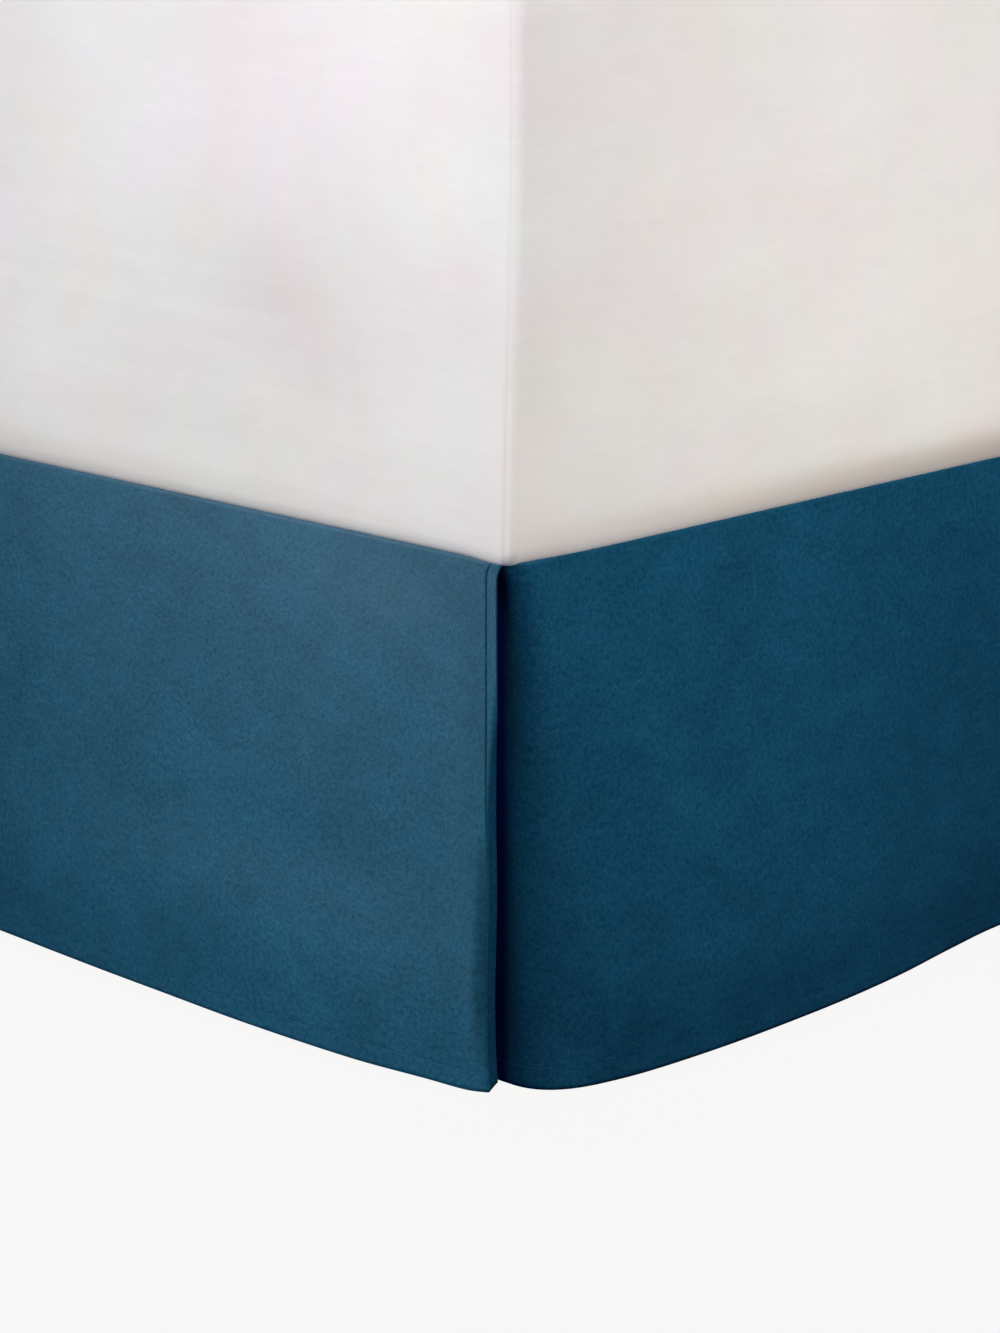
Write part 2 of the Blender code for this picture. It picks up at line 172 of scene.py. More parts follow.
SIDE_LEGS = (
    Leg(SIDE_HEM - NEAR_SEAM, 0.0020),
    Leg(SIDE_HEM + NEAR_SEAM, 0.0006),
    Leg(BED_LENGTH - 0.620, 0.0125),
    Leg(BED_LENGTH - 0.085, 0.0078),
    Leg(BED_LENGTH + 0.040, 0.0019),
    Leg(BED_LENGTH + WRAP_LENGTH, 0.0050),
)

# Where the cloth's pattern starts on the side drops and on the deck, and the deck's rings
SIDE_PATTERN = 3.0
DECK_PATTERN = 8.0
DECK_RING_SPREAD = 1.3

# Mattress
MATTRESS_BOTTOM = 0.3888
MATTRESS_TOP = 0.8088
MATTRESS_OUT = 0.012
MATTRESS_CORNER = 0.0105
MATTRESS_TOP_EDGE = 0.034
MATTRESS_CROWN = 0.009
MATTRESS_BELLY = 0.0030
MATTRESS_STEP = 0.0046
UNDERSIDE_INSETS = (0.70, 0.40, 0.15, 0.06)
UNDERSIDE_CORNER = 0.05
EDGE_STEPS = 14
TOP_EDGE_STEPS = 12
TOP_MIDDLE = 0.745
TOP_STEP = 0.026
TOP_SETTLE = 0.0006
TOP_WAVES_FROM = MATTRESS_TOP_EDGE * 0.6
TOP_WAVES_FULL = 0.10
TOP_CORNER = 0.055
TOP_ROUNDING = 0.25
TOP_EDGE_ROUNDING = 1.2
CROWN_REACH = 0.45
CROWN_RISE = 0.9
CORNER_CROWDING = 0.93
OUTLINE_STEP = 0.0215
OUTLINE_CORNER_STEPS = 26
SHEET_SEAM_DEPTH = 0.0002
SHEET_SEAM_HALF = 0.0009
SHEET_SEAM_IN = 0.0066
SHEET_SEAM_FACE = 0.001
SHEET_SEAM_FADE = 0.004
SEAM_TONE = 0.10
SEAM_TONE_HALF = 0.0006
SEAM_TONE_FADES = (0.46, 0.56)
SEAM_TONE_LOSS = 0.55
FORMS_START = (0.03, 0.20)
FORMS_END = (0.82, 0.98)
FORMS_FROM_CORNER = (-0.002, 0.060)
CORNER_DRAW = 0.0070
DRAW_ENDS = (0.39, 0.68)
DRAW_HALF = 0.05
DRAW_REACH = 0.08
CORNER_SAG = 0.0017
SAG_IN = 0.011
SAG_HALF = 0.024
SAG_ROUND = (0.002, 0.011)
SAG_TOP = MATTRESS_BOTTOM + 0.03
SHEET_CREASE_HALF = 0.0055
CREASE_FADE_IN = 0.06
CREASE_FADE_OUT = 0.08

# Foundation cover
PIPING = 0.0028
PIPING_SEAT = 0.0004
PIPING_GUTTER = 0.0042
PIPING_REACH = PIPING * 1.25
PIPING_ROUND = (-190, 10)
PIPING_STEPS = 8
COVER_INSETS = (0.30, 0.05, 0.012)
COVER_INSET = 0.0034
COVER_BELLY = 0.0016
COVER_STEP = 0.012
COVER_CORNER = 0.060
COVER_OUTLINE_STEP = 0.03
COVER_CORNER_STEPS = 12

# How far the hems hang out from the seam: the foot drop's by the distance from its free edge,
# with its way sideways and its slip, and the side drops' by the distance from the foot
FootFall = namedtuple("FootFall", "from_edge sideways outward slip")
FOOT_FALL = (
    FootFall(0.0098, 0.0150, 0.0229, 0.0090),
    FootFall(0.025, 0.0145, 0.0287, 0.0085),
    FootFall(0.060, 0.0130, 0.0313, 0.0060),
    FootFall(0.130, 0.0100, 0.0374, 0.0020),
    FootFall(0.240, 0.0070, 0.0363, 0.0000),
    FootFall(0.350, 0.0040, 0.0295, 0.0000),
    FootFall(0.470, 0.0010, 0.0207, 0.0000),
    FootFall(0.560, 0.0000, 0.0135, 0.0000),
    FootFall(0.660, 0.0000, 0.0105, 0.0000),
    FootFall(0.755, 0.0000, 0.0120, 0.0000),
)

SideFall = namedtuple("SideFall", "from_foot outward")
SIDE_FALL = (
    SideFall(0.020, 0.0280),
    SideFall(0.050, 0.0376),
    SideFall(0.095, 0.0436),
    SideFall(0.170, 0.0450),
    SideFall(0.260, 0.0405),
    SideFall(0.325, 0.0355),
    SideFall(0.395, 0.0265),
    SideFall(0.470, 0.0120),
    SideFall(0.548, -0.0003),
    SideFall(0.640, -0.0020),
    SideFall(0.820, 0.0120),
    SideFall(1.050, 0.0060),
    SideFall(1.300, 0.0140),
    SideFall(1.600, 0.0070),
    SideFall(1.850, 0.0120),
    SideFall(2.032, 0.0090),
)

# How far the top seam of the side drops lies in from the straight edge near the foot
SeamInset = namedtuple("SeamInset", "from_foot inset")
SEAM_INSET = (
    SeamInset(0.0045, 0.0064),
    SeamInset(0.014, 0.0060),
    SeamInset(0.034, 0.0040),
    SeamInset(0.060, 0.0019),
    SeamInset(0.085, 0.0008),
    SeamInset(0.115, 0.0000),
)

# The bend of the side drops round the foot corner at each share of the drop
CornerBend = namedtuple("CornerBend", "down bend_start corner_out wrap_in bend_end")
CORNER_BENDS = (
    CornerBend(0.00, 0.034, -0.0074, 0.0017, -0.0190),
    CornerBend(0.06, 0.035, -0.0052, 0.0105, -0.0225),
    CornerBend(0.12, 0.034, -0.0026, 0.0142, -0.0225),
    CornerBend(0.20, 0.032, -0.0012, 0.0145, -0.0205),
    CornerBend(0.30, 0.031, 0.0006, 0.0132, -0.0182),
    CornerBend(0.40, 0.030, 0.0036, 0.0108, -0.0155),
    CornerBend(0.50, 0.033, 0.0068, 0.0085, -0.0140),
    CornerBend(0.60, 0.036, 0.0086, 0.0070, -0.0120),
    CornerBend(0.70, 0.041, 0.0118, 0.0052, -0.0088),
    CornerBend(0.80, 0.049, 0.0148, 0.0046, -0.0062),
    CornerBend(0.90, 0.056, 0.0205, 0.0042, -0.0058),
    CornerBend(1.00, 0.052, 0.0300, 0.0025, -0.0050),
)

# Share of the hem's swing at each level, and how far the panel stands out above its hem
Hang = namedtuple("Hang", "down share tuck")
HANG = (
    Hang(0.00, 0.000, 0.00),
    Hang(0.15, 0.165, 0.00),
    Hang(0.35, 0.385, 0.00),
    Hang(0.55, 0.600, 0.10),
    Hang(0.70, 0.755, 0.45),
    Hang(0.79, 0.845, 0.86),
    Hang(0.84, 0.890, 1.00),
    Hang(0.89, 0.930, 0.84),
    Hang(0.95, 0.970, 0.38),
    Hang(1.00, 1.000, 0.00),
)
FOOT_TUCK = 0.0030
SIDE_TUCK = 0.0048

# Soft forms of the drops: depth out of the panel, reach along it and down it, lean of the form
SoftForm = namedtuple("SoftForm", "along down depth reach_along reach_down lean")
FOOT_FORMS = (
    SoftForm(0.034, 0.35, -0.0006, 0.018, 0.30, 0.00),
    SoftForm(0.110, 0.22, 0.0016, 0.075, 0.20, 0.10),
    SoftForm(0.200, 0.62, -0.0011, 0.160, 0.07, 0.12),
    SoftForm(0.290, 0.77, 0.0012, 0.190, 0.09, 0.10),
    SoftForm(0.330, 0.42, -0.0010, 0.060, 0.26, -0.25),
    SoftForm(0.430, 0.66, 0.0012, 0.070, 0.24, 0.20),
    SoftForm(0.560, 0.40, -0.0011, 0.080, 0.30, -0.15),
    SoftForm(0.700, 0.60, 0.0013, 0.090, 0.28, 0.10),
    SoftForm(0.860, 0.50, -0.0012, 0.085, 0.30, 0.20),
    SoftForm(1.010, 0.70, 0.0012, 0.080, 0.22, -0.10),
    SoftForm(1.170, 0.45, -0.0010, 0.070, 0.28, 0.15),
    SoftForm(1.330, 0.30, 0.0015, 0.080, 0.22, -0.10),
)
SIDE_FORMS = (
    SoftForm(0.090, 0.45, 0.0010, 0.035, 0.30, 0.00),
    SoftForm(0.170, 0.30, -0.0010, 0.055, 0.26, 0.20),
    SoftForm(0.270, 0.55, 0.0011, 0.070, 0.24, -0.15),
    SoftForm(0.360, 0.42, -0.0009, 0.050, 0.30, 0.10),
    SoftForm(0.450, 0.66, 0.0012, 0.080, 0.24, 0.25),
    SoftForm(0.700, 0.50, -0.0014, 0.090, 0.32, -0.10),
    SoftForm(0.930, 0.62, 0.0014, 0.090, 0.26, 0.15),
    SoftForm(1.180, 0.45, -0.0013, 0.080, 0.30, 0.10),
    SoftForm(1.450, 0.60, 0.0014, 0.100, 0.26, -0.20),
    SoftForm(1.720, 0.48, -0.0012, 0.085, 0.30, 0.15),
    SoftForm(1.930, 0.62, 0.0011, 0.060, 0.26, 0.00),
)

# Edge of the deck, from the skirt's fold inwards
DeckRing = namedtuple("DeckRing", "inset height")
DECK_RINGS = (
    DeckRing(0.0000, 0.38745),
    DeckRing(0.0006, 0.38785),
    DeckRing(0.0016, 0.38800),
    DeckRing(0.0120, 0.38800),
    DeckRing(0.0600, 0.38800),
)

# Underside edge of the mattress, over the skirt's fold; an oval roll joins it to the side
LowerEdge = namedtuple("LowerEdge", "inset rise")
LOWER_EDGE = (
    LowerEdge(0.0300, 0.0000),
    LowerEdge(0.0160, 0.0000),
    LowerEdge(0.0120, 0.0000),
    LowerEdge(0.0102, -0.0004),
    LowerEdge(0.0093, -0.0010),
)
EDGE_DIP = 0.0012
EDGE_ROLL_IN = 0.0085
EDGE_ROLL_UP = 0.0130

# Dents of the mattress: distance in from the corner, height, and depth outwards
Dent = namedtuple("Dent", "across height depth reach_across reach_up")
FOOT_DENTS = (
    Dent(0.090, 0.620, 0.0016, 0.090, 0.070),
    Dent(0.190, 0.500, -0.0014, 0.060, 0.045),
    Dent(0.240, 0.570, -0.0012, 0.070, 0.045),
    Dent(0.400, 0.620, 0.0012, 0.120, 0.060),
    Dent(0.420, 0.460, 0.0010, 0.120, 0.040),
    Dent(0.760, 0.560, -0.0016, 0.200, 0.070),
    Dent(1.100, 0.600, 0.0014, 0.160, 0.080),
)
SIDE_DENTS = (
    Dent(0.045, 0.520, -0.0012, 0.022, 0.060),
    Dent(0.160, 0.640, -0.0012, 0.070, 0.035),
    Dent(0.310, 0.520, 0.0015, 0.090, 0.060),
    Dent(0.480, 0.600, -0.0010, 0.090, 0.050),
    Dent(0.800, 0.560, 0.0015, 0.180, 0.080),
    Dent(1.250, 0.600, -0.0015, 0.200, 0.080),
    Dent(1.700, 0.540, 0.0014, 0.180, 0.070),
)

# Unevenness of the mattress: waves a metre along each axis, where their pattern starts, depth
Wave = namedtuple("Wave", "x y z start depth")
FACE_WAVES = (
    Wave(4.5, 4.5, 6.0, 3.0, 0.00090),
    Wave(11.0, 11.0, 16.0, 9.0, 0.00035),
)
TOP_WAVES = (
    Wave(3.2, 2.6, 0.0, 5.0, 0.0014),
    Wave(12.0, 7.0, 0.0, 11.0, 0.0004),
)

# Drag lines of the sheet: where they start and end across the face, height, slope and depth
Crease = namedtuple("Crease", "start end height slope depth")
FOOT_CREASES = (
    Crease(0.190, 0.560, 0.566, 0.010, -0.00045),
    Crease(0.210, 0.520, 0.552, -0.015, -0.00035),
    Crease(0.180, 0.600, 0.536, 0.008, -0.00050),
    Crease(0.240, 0.640, 0.524, 0.020, 0.00035),
    Crease(0.200, 0.500, 0.484, -0.010, -0.00040),
    Crease(0.420, 0.900, 0.600, 0.015, -0.00035),
)
SIDE_CREASES = (
    Crease(0.120, 0.420, 0.640, 0.012, -0.00030),
    Crease(0.200, 0.620, 0.585, -0.008, -0.00030),
    Crease(0.340, 0.900, 0.505, 0.010, 0.00030),
    Crease(0.900, 1.600, 0.600, 0.006, -0.00040),
    Crease(1.100, 1.800, 0.520, -0.006, 0.00035),
)

# Painted light and shade of the sheet: its lighter and darker places; the last row of each is the
# painted soft brown shade just above the skirt
Tone = namedtuple("Tone", "across height tone reach_across reach_up")
FOOT_PAINTED_LIGHT = (
    Tone(0.260, 0.560, -0.060, 0.110, 0.090),
    Tone(0.229, 0.555, -0.050, 0.055, 0.033),
    Tone(0.185, 0.504, -0.040, 0.040, 0.026),
    Tone(0.065, 0.643, 0.030, 0.050, 0.030),
    Tone(0.050, 0.440, 0.042, 0.120, 0.060),
    Tone(0.480, 0.540, 0.034, 0.150, 0.110),
    Tone(0.860, 0.520, -0.030, 0.120, 0.050),
    Tone(1.150, 0.620, 0.025, 0.150, 0.060),
    Tone(0.620, 0.397, -0.170, 0.430, 0.0150),
)
SIDE_PAINTED_LIGHT = (
    Tone(0.020, 0.533, -0.050, 0.020, 0.060),
    Tone(0.200, 0.617, -0.020, 0.065, 0.020),
    Tone(0.300, 0.494, 0.025, 0.080, 0.035),
    Tone(0.620, 0.560, -0.025, 0.100, 0.050),
    Tone(1.200, 0.500, 0.025, 0.150, 0.050),
    Tone(1.700, 0.620, -0.025, 0.120, 0.060),
    Tone(0.750, 0.397, -0.440, 0.650, 0.0150),
)


def smooth_lookup(table, at, column):
    """Value of a named column at a place along the table, on a smooth curve through its rows."""
    places = [row[0] for row in table]
    values = [getattr(row, column) for row in table]
    if at <= places[0]:
        return values[0]
    if at >= places[-1]:
        return values[-1]
    low = max(index for index, place in enumerate(places) if place <= at)

    def slope(index):
        before = max(index - 1, 0)
        after = min(index + 1, len(places) - 1)
        return (values[after] - values[before]) / (places[after] - places[before])

    span = places[low + 1] - places[low]
    part = (at - places[low]) / span
    rise = values[low + 1] - values[low]
    start = slope(low) * span
    end = slope(low + 1) * span
    bend = 3 * rise - 2 * start - end
    twist = start + end - 2 * rise
    return values[low] + part * (start + part * (bend + part * twist))


def smooth_step(low, high, value):
    """0 below low, 1 above high, and an even S-curve between."""
    part = min(max((value - low) / (high - low), 0.0), 1.0)
    return part * part * (3 - 2 * part)


def lookup_row(table, at):
    """Every column of a table but its first, looked up at a place along it."""
    return [smooth_lookup(table, at, column) for column in table[0]._fields[1:]]


def bell(distance, reach):
    """1 at no distance, and softly down to 0 past the reach."""
    return math.exp(-(distance / reach) ** 2)


def patches(table, across, height, column):
    """Sum of a named column over soft round patches."""
    return sum(getattr(row, column) * bell(across - row.across, row.reach_across)
               * bell(height - row.height, row.reach_up) for row in table)


def hang(down, outward, tuck):
    """How far out the cloth stands at this fraction of the drop, for the hem's swing."""
    share, tuck_share = lookup_row(HANG, down)
    return share * outward + tuck_share * tuck


def soft_depth(forms, along, down):
    """How far the soft forms push a drop out at a place on it."""
    depth = 0.0
    for form in forms:
        off_down = down - form.down
        off_along = along - form.along - form.lean * off_down * DROP
        depth += form.depth * bell(off_along, form.reach_along) * bell(off_down, form.reach_down)
    ripple = noise.noise(Vector((along * RIPPLES_ALONG, down * RIPPLES_DOWN,
                                 forms[0].along * RIPPLE_SHIFT)))
    return (depth + DROP_RIPPLE * ripple) * smooth_step(*FORMS_BEGIN, down)


# ---------------------------------------------------------------- the drops' outer surfaces

def foot_seam_point(from_edge):
    """Plan point of the foot seam, counted from the foot corner, at a distance along the cloth."""
    if from_edge >= FOOT_EDGE_ARC:
        return Vector((-CORNER_RADIUS - (from_edge - FOOT_EDGE_ARC), 0.0))
    turn = (FOOT_EDGE_ARC - from_edge) / CORNER_RADIUS
    return Vector((math.sin(turn) - 1, 1 - math.cos(turn))) * CORNER_RADIUS


def foot_along(from_edge, side):
    """Distance along the whole foot drop from its right end, for a place counted from either."""
    return from_edge if side > 0 else 2 * FOOT_HALF - from_edge


def side_hem_offset(beyond, down):
    """Plan offset of the hemmed strip this far beyond its line of stitching."""
    steps = max(2, math.ceil(beyond / STRIP_STEP))
    step = beyond / steps
    flat = SIDE_HEM * (1 - smooth_step(TURN_STARTS, TURN_ENDS, down))
    at_seam = 1 - smooth_step(0.0, STRAIGHT_BY, down)
    rolled = smooth_step(TURN_STARTS, TURN_STARTS + ROLL_FADES_IN, down)
    roll = SOFT_ROLL + (TURN_ROLL - SOFT_ROLL) * smooth_step(TURN_STARTS, TURN_ENDS, down)
    offset = Vector((0.0, 0.0))
    for index in range(steps):
        reach = (index + 0.5) * step
        round_corner = smooth_step(SIDE_HEM - FOOT_EDGE_ARC, SIDE_HEM, reach)
        heading = FOOT_EDGE_TURN * at_seam * round_corner
        heading += HEM_TURN * rolled * smooth_step(flat - roll, flat + roll, reach)
        offset += Vector((math.cos(heading), math.sin(heading))) * step
    return offset


def foot_cloth_point(from_edge, down, side):
    """Point on the outside of the foot drop: plan place from the foot corner, and height."""
    panel = max(from_edge, SIDE_HEM)
    place = foot_seam_point(panel)
    sideways, outward, slip = lookup_row(FOOT_FALL, panel)
    above_slip_end = max(1 - down / SLIP_ENDS, 0.0)
    place.x += (sideways + slip) * down - slip * (1 - above_slip_end ** 2)
    out = hang(down, outward, FOOT_TUCK)
    out += soft_depth(FOOT_FORMS, foot_along(from_edge, side), down)
    begun = smooth_step(0.0, GROOVE_BEGINS, down)
    out -= SIDE_GROOVE * bell(from_edge - SIDE_HEM, GROOVE_HALF) * begun
    beside_seam = 1 - smooth_step(0.0, FALL_IN_REACH, panel - SIDE_HEM)
    out -= SIDE_FALL_IN * beside_seam * hollow_share(down)
    out += hem_relief(down)
    place.y -= out
    beyond = panel - from_edge
    if beyond > 0:
        place += side_hem_offset(beyond, down)
    lift = EDGE_LIFT * beyond / SIDE_HEM * smooth_step(LIFT_STARTS, 1.0, down)
    return place, SEAM_Z - DROP * down + lift


def hollow_share(down):
    """How much of the soft hollow beside its free ends the foot drop has at a level."""
    return smooth_step(*HOLLOW_FORMS, down) * (1 - HOLLOW_LOSS * smooth_step(*HOLLOW_FADES, down))


def hem_relief(down):
    """The bottom hem stands a little proud of the panel below its line of stitching."""
    above_hem = (1 - down) * DROP - HEM_DEPTH
    puff = HEM_PUFF * smooth_step(*PUFF_RISES, above_hem)
    return puff - HEM_GROOVE * bell(above_hem, GROOVE_HALF)


def side_outline(down):
    """Plan outline of the side drop at one level, from the head end to the end of the wrap."""
    bend_start, corner_out, wrap_in, bend_end = lookup_row(CORNER_BENDS, down)

    def side_x(from_foot):
        inset = smooth_lookup(SEAM_INSET, from_foot, "inset") * (1 - down)
        out = hang(down, smooth_lookup(SIDE_FALL, from_foot, "outward"), SIDE_TUCK) - inset
        return out + soft_depth(SIDE_FORMS, from_foot, down) + hem_relief(down)

    outline = []
    for index in range(SIDE_STEPS + 1):
        from_foot = BED_LENGTH + (bend_start - BED_LENGTH) * index / SIDE_STEPS
        outline.append(Vector((side_x(from_foot), from_foot)))
    start = outline[-1]
    middle = Vector((corner_out, wrap_in))
    end = Vector((bend_end, wrap_in))
    for index in range(BEND_STEPS):
        part = (index + 1) / BEND_STEPS
        outline.append(start.lerp(middle, part).lerp(middle.lerp(end, part), part))
    for index in range(WRAP_STEPS):
        part = (index + 1) / WRAP_STEPS
        outline.append(Vector((bend_end + (WRAP_RETURNS_BY - bend_end) * part,
                               wrap_in + (WRAP_REST - wrap_in) * smooth_step(0.0, 1.0, part))))
    outline.append(end - Vector((WRAP_LENGTH, wrap_in - WRAP_REST)))
    return outline


def walk_outline(outline, distances):
    """Plan points at the given distances along an outline."""
    points = []
    start = 0.0
    index = 0
    for distance in distances:
        while index < len(outline) - 2:
            length = (outline[index + 1] - outline[index]).length
            if start + length >= distance:
                break
            start += length
            index += 1
        direction = (outline[index + 1] - outline[index]).normalized()
        points.append(outline[index] + direction * (distance - start))
    return points


def inward_normals(points):
    """Unit plan directions to the left of the way the points run."""
    normals = []
    for index in range(len(points)):
        before = points[max(index - 1, 0)]
        after = points[min(index + 1, len(points) - 1)]
        along = (after - before).normalized()
        normals.append(Vector((-along.y, along.x)))
    return normals


def spread(start, end, step):
    """Even places from start up to, and not including, end."""
    count = max(1, round((end - start) / step))
    return [start + (end - start) * index / count for index in range(count)]


def stations(start, legs):
    """Places from start to the end of the last leg, evenly spaced within each leg."""
    places = []
    for leg in legs:
        places += spread(start, leg.end, leg.step)
        start = leg.end
    return [*places, start]


def fold_rows(seam, normals, allowances, heights):
    """Rows of the seam allowance and the fold that joins it to the drop, inner edge first."""
    rows = [[(point + normal * allowance, height)
             for point, normal, allowance, height in zip(seam, normals, allowances, heights)]]
    for step in range(FOLD_STEPS):
        angle = math.radians(90) * step / FOLD_STEPS
        back = FOLD_RADIUS * (1 - math.sin(angle))
        below = FOLD_RADIUS * (1 - math.cos(angle))
        rows.append([(point + normal * back, height - below)
                     for point, normal, height in zip(seam, normals, heights)])
    return rows


# ---------------------------------------------------------------- meshes

def bridge(shape, lower, upper):
    """Faces between two closed rings of points of equal count."""
    for index, (low, high) in enumerate(zip(lower, upper)):
        after = (index + 1) % len(lower)
        shape.faces.new((low, lower[after], upper[after], high))


def object_from(shape, name):
    """Turn a bmesh into a named object."""
    mesh = bpy.data.meshes.new(name)
    shape.to_mesh(mesh)
    shape.free()
    piece = bpy.data.objects.new(name, mesh)
    bpy.context.scene.collection.objects.link(piece)
    mesh.shade_smooth()
    return piece


def apply_modifiers(piece):
    """Swap the piece's mesh for its evaluated one and drop its modifiers."""
    graph = bpy.context.evaluated_depsgraph_get()
    mesh = bpy.data.meshes.new_from_object(piece.evaluated_get(graph), depsgraph=graph)
    piece.modifiers.clear()
    old = piece.data
    piece.data = mesh
    bpy.data.meshes.remove(old)
    mesh.name = piece.name


def cloth_sheet(name, rows, places, side, doubled, shade):
    """Thin sheet through rows of (plan, height); places are its (along, down) in metres."""
    shape = bmesh.new()
    layer = shape.loops.layers.uv.new("cloth")
    # every point keeps the painted shade that the cloth's finish darkens it by
    shades = shape.verts.layers.float.new("shade")
    grid = [[shape.verts.new((side * (CORNER.x + plan.x), CORNER.y + plan.y, height))
             for plan, height in row] for row in rows]
    place_of = {}
    for verts, along_row, row in zip(grid, places, rows):
        place_of.update(zip(verts, along_row))
        for vert, place, (plan, _) in zip(verts, along_row, row):
            vert[shades] = shade(plan, place)
    for upper, lower in zip(grid, grid[1:]):
        for index in range(len(upper) - 1):
            corners = (upper[index], lower[index], lower[index + 1], upper[index + 1])
            face = shape.faces.new(corners if side > 0 else corners[::-1])
            for loop in face.loops:
                loop[layer].uv = place_of[loop.vert]
    piece = object_from(shape, name)
    group = piece.vertex_groups.new(name="doubled")
    width = len(rows[0])
    group.add([row * width + column for row in range(len(rows)) for column in range(width)
               if doubled(row, column)], 1.0, "REPLACE")
    solid = piece.modifiers.new("thickness", "SOLIDIFY")
    solid.thickness = HEM_CLOTH
    solid.offset = -1.0
    solid.vertex_group = "doubled"
    solid.thickness_vertex_group = CLOTH / HEM_CLOTH
    apply_modifiers(piece)
    return piece


def seam_shade(_, place):
    """Painted shade on the foot drop along the stitching of its free ends: in the stitch groove,
    in the hollow beside it and broadly over the ends.
    """
    along, level = place
    from_seam = min(along, 2 * FOOT_HALF - along) - SIDE_HEM
    down = level / DROP
    # painted shade in the groove of the stitching (weaker lower down), in the hollow beside it and
    # broadly over the free ends
    line = SEAM_SHADE * bell(from_seam, SEAM_SHADE_HALF)
    line *= 1 - LINE_LOSS * smooth_step(*LINE_FADES, down)
    hollow = HOLLOW_SHADE * bell(from_seam - HOLLOW_IN, HOLLOW_HALF) * hollow_share(down)
    end_painted_shade = END_SHADE * bell(from_seam - END_SHADE_IN, END_SHADE_HALF)
    end_painted_shade *= bell(down - END_SHADE_DOWN, END_SHADE_REACH)
    return (line + max(hollow, end_painted_shade)) * smooth_step(0.0, SHADE_BEGINS, level)


def slit_shade(plan, place):
    """Painted shade on a side drop: how deep in the dark of the corner slit a place lies."""
    if plan.y > SLIT_REACH:
        return 0.0
    below_fold = smooth_step(0.0, SLIT_BEGINS, place[1])
    return (1 - smooth_step(SLIT_DARK, SLIT_CLEAR, plan.x + plan.y)) * below_fold


def hung_drop(name, side, columns, alongs, seam, allowances, heights, row_at, shade):
    """One drop as one sheet: seam allowance, fold and panel, thicker at its hems.

    columns are distances from the free edge, alongs the places of the cloth's pattern, and the
    last argument gives each point its painted shade.
    """
    normals = [-normal for normal in inward_normals(seam)]
    rows = fold_rows(seam, normals, allowances, heights)
    downs = stations(FOLD_RADIUS / DROP, DOWN_LEGS)
    hem_row = len(rows) + sum(1 for down in downs if down < HEM_LINE)
    rows += [row_at(down) for down in downs]
    levels = [-FOLD_ARC - ALLOWANCE]
    levels += [-FOLD_ARC * (1 - step / FOLD_STEPS) for step in range(FOLD_STEPS)]
    levels += [down * DROP for down in downs]
    places = [[(along, level) for along in reversed(alongs)] for level in levels]
    end_hem = [column <= SIDE_HEM for column in reversed(columns)]
    return cloth_sheet(name, [row[::-1] for row in rows], places, side,
                       lambda row, column: row >= hem_row or end_hem[column], shade)


def make_foot_panel():
    """The flat drop across the foot, free at both ends, with hemmed ends and bottom."""
    half = stations(0.0, FOOT_LEGS)
    columns = [(distance, 1) for distance in half]
    columns += [(distance, -1) for distance in half[-2::-1]]

    def lay(plan, side):
        return Vector((plan.x, plan.y)) if side > 0 else Vector((-BED_WIDTH - plan.x, plan.y))

    def row_at(down):
        points = [foot_cloth_point(distance, down, side) for distance, side in columns]
        return [(lay(plan, side), height) for (plan, height), (_, side) in zip(points, columns)]

    seam = [lay(foot_seam_point(distance), side) for distance, side in columns]
    return hung_drop("skirt_foot_panel", 1, [distance for distance, _ in columns],
                     [foot_along(*column) for column in columns], seam,
                     [ALLOWANCE] * len(seam), [SEAM_Z] * len(seam), row_at, seam_shade)


def make_side_panel(name, side):
    """The flat drop down one side, which runs on round its foot corner."""
    columns = stations(0.0, SIDE_LEGS)
    bend_begins = BED_LENGTH - CORNER_BENDS[0].bend_start
    under_foot = [smooth_step(bend_begins, bend_begins + UNDER_FOOT_RUN, column)
                  for column in columns]
    near_corner = [smooth_step(bend_begins - ALLOWANCE_TAPER, bend_begins, column)
                   for column in columns]

    def row_at(down):
        row = []
        groove = HEAD_GROOVE * smooth_step(0.0, GROOVE_BEGINS, down)
        points = walk_outline(side_outline(down), columns)
        for point, under, column in zip(points, under_foot, columns):
            sink = groove * bell(column - SIDE_HEM, GROOVE_HALF)
            row.append((Vector((point.x - sink, point.y)),
                        SEAM_Z - DROP * down - LAYER * under * (1 - down)))
        return row

    return hung_drop(name, side, columns,
                     [SIDE_PATTERN + BED_LENGTH - column for column in columns],
                     walk_outline(side_outline(0.0), columns),
                     [ALLOWANCE + (CORNER_ALLOWANCE - ALLOWANCE) * near for near in near_corner],
                     [SEAM_Z - LAYER * under for under in under_foot], row_at, slit_shade)


def arc(centre, radius, start, end, steps):
    """Plan points round part of a circle, both ends included, between two angles in degrees."""
    angles = [math.radians(start + (end - start) * step / steps) for step in range(steps + 1)]
    return [centre + Vector((math.cos(angle), math.sin(angle))) * radius for angle in angles]


def deck_edge():
    """Plan outline of the deck at the +X side, foot corner to head corner."""
    radius = CORNER_RADIUS - FOLD_RADIUS
    foot = Vector((-CORNER_RADIUS, CORNER_RADIUS))
    head = Vector((-CORNER_RADIUS, BED_LENGTH - CORNER_RADIUS))
    side = [Vector((-row.inset - FOLD_RADIUS, row.from_foot)) for row in SEAM_INSET[1:]]
    return [*arc(foot, radius, -90, DECK_TURN - 90, DECK_CORNER_STEPS), *side,
            *arc(head, radius, 0, 90, DECK_CORNER_STEPS)]


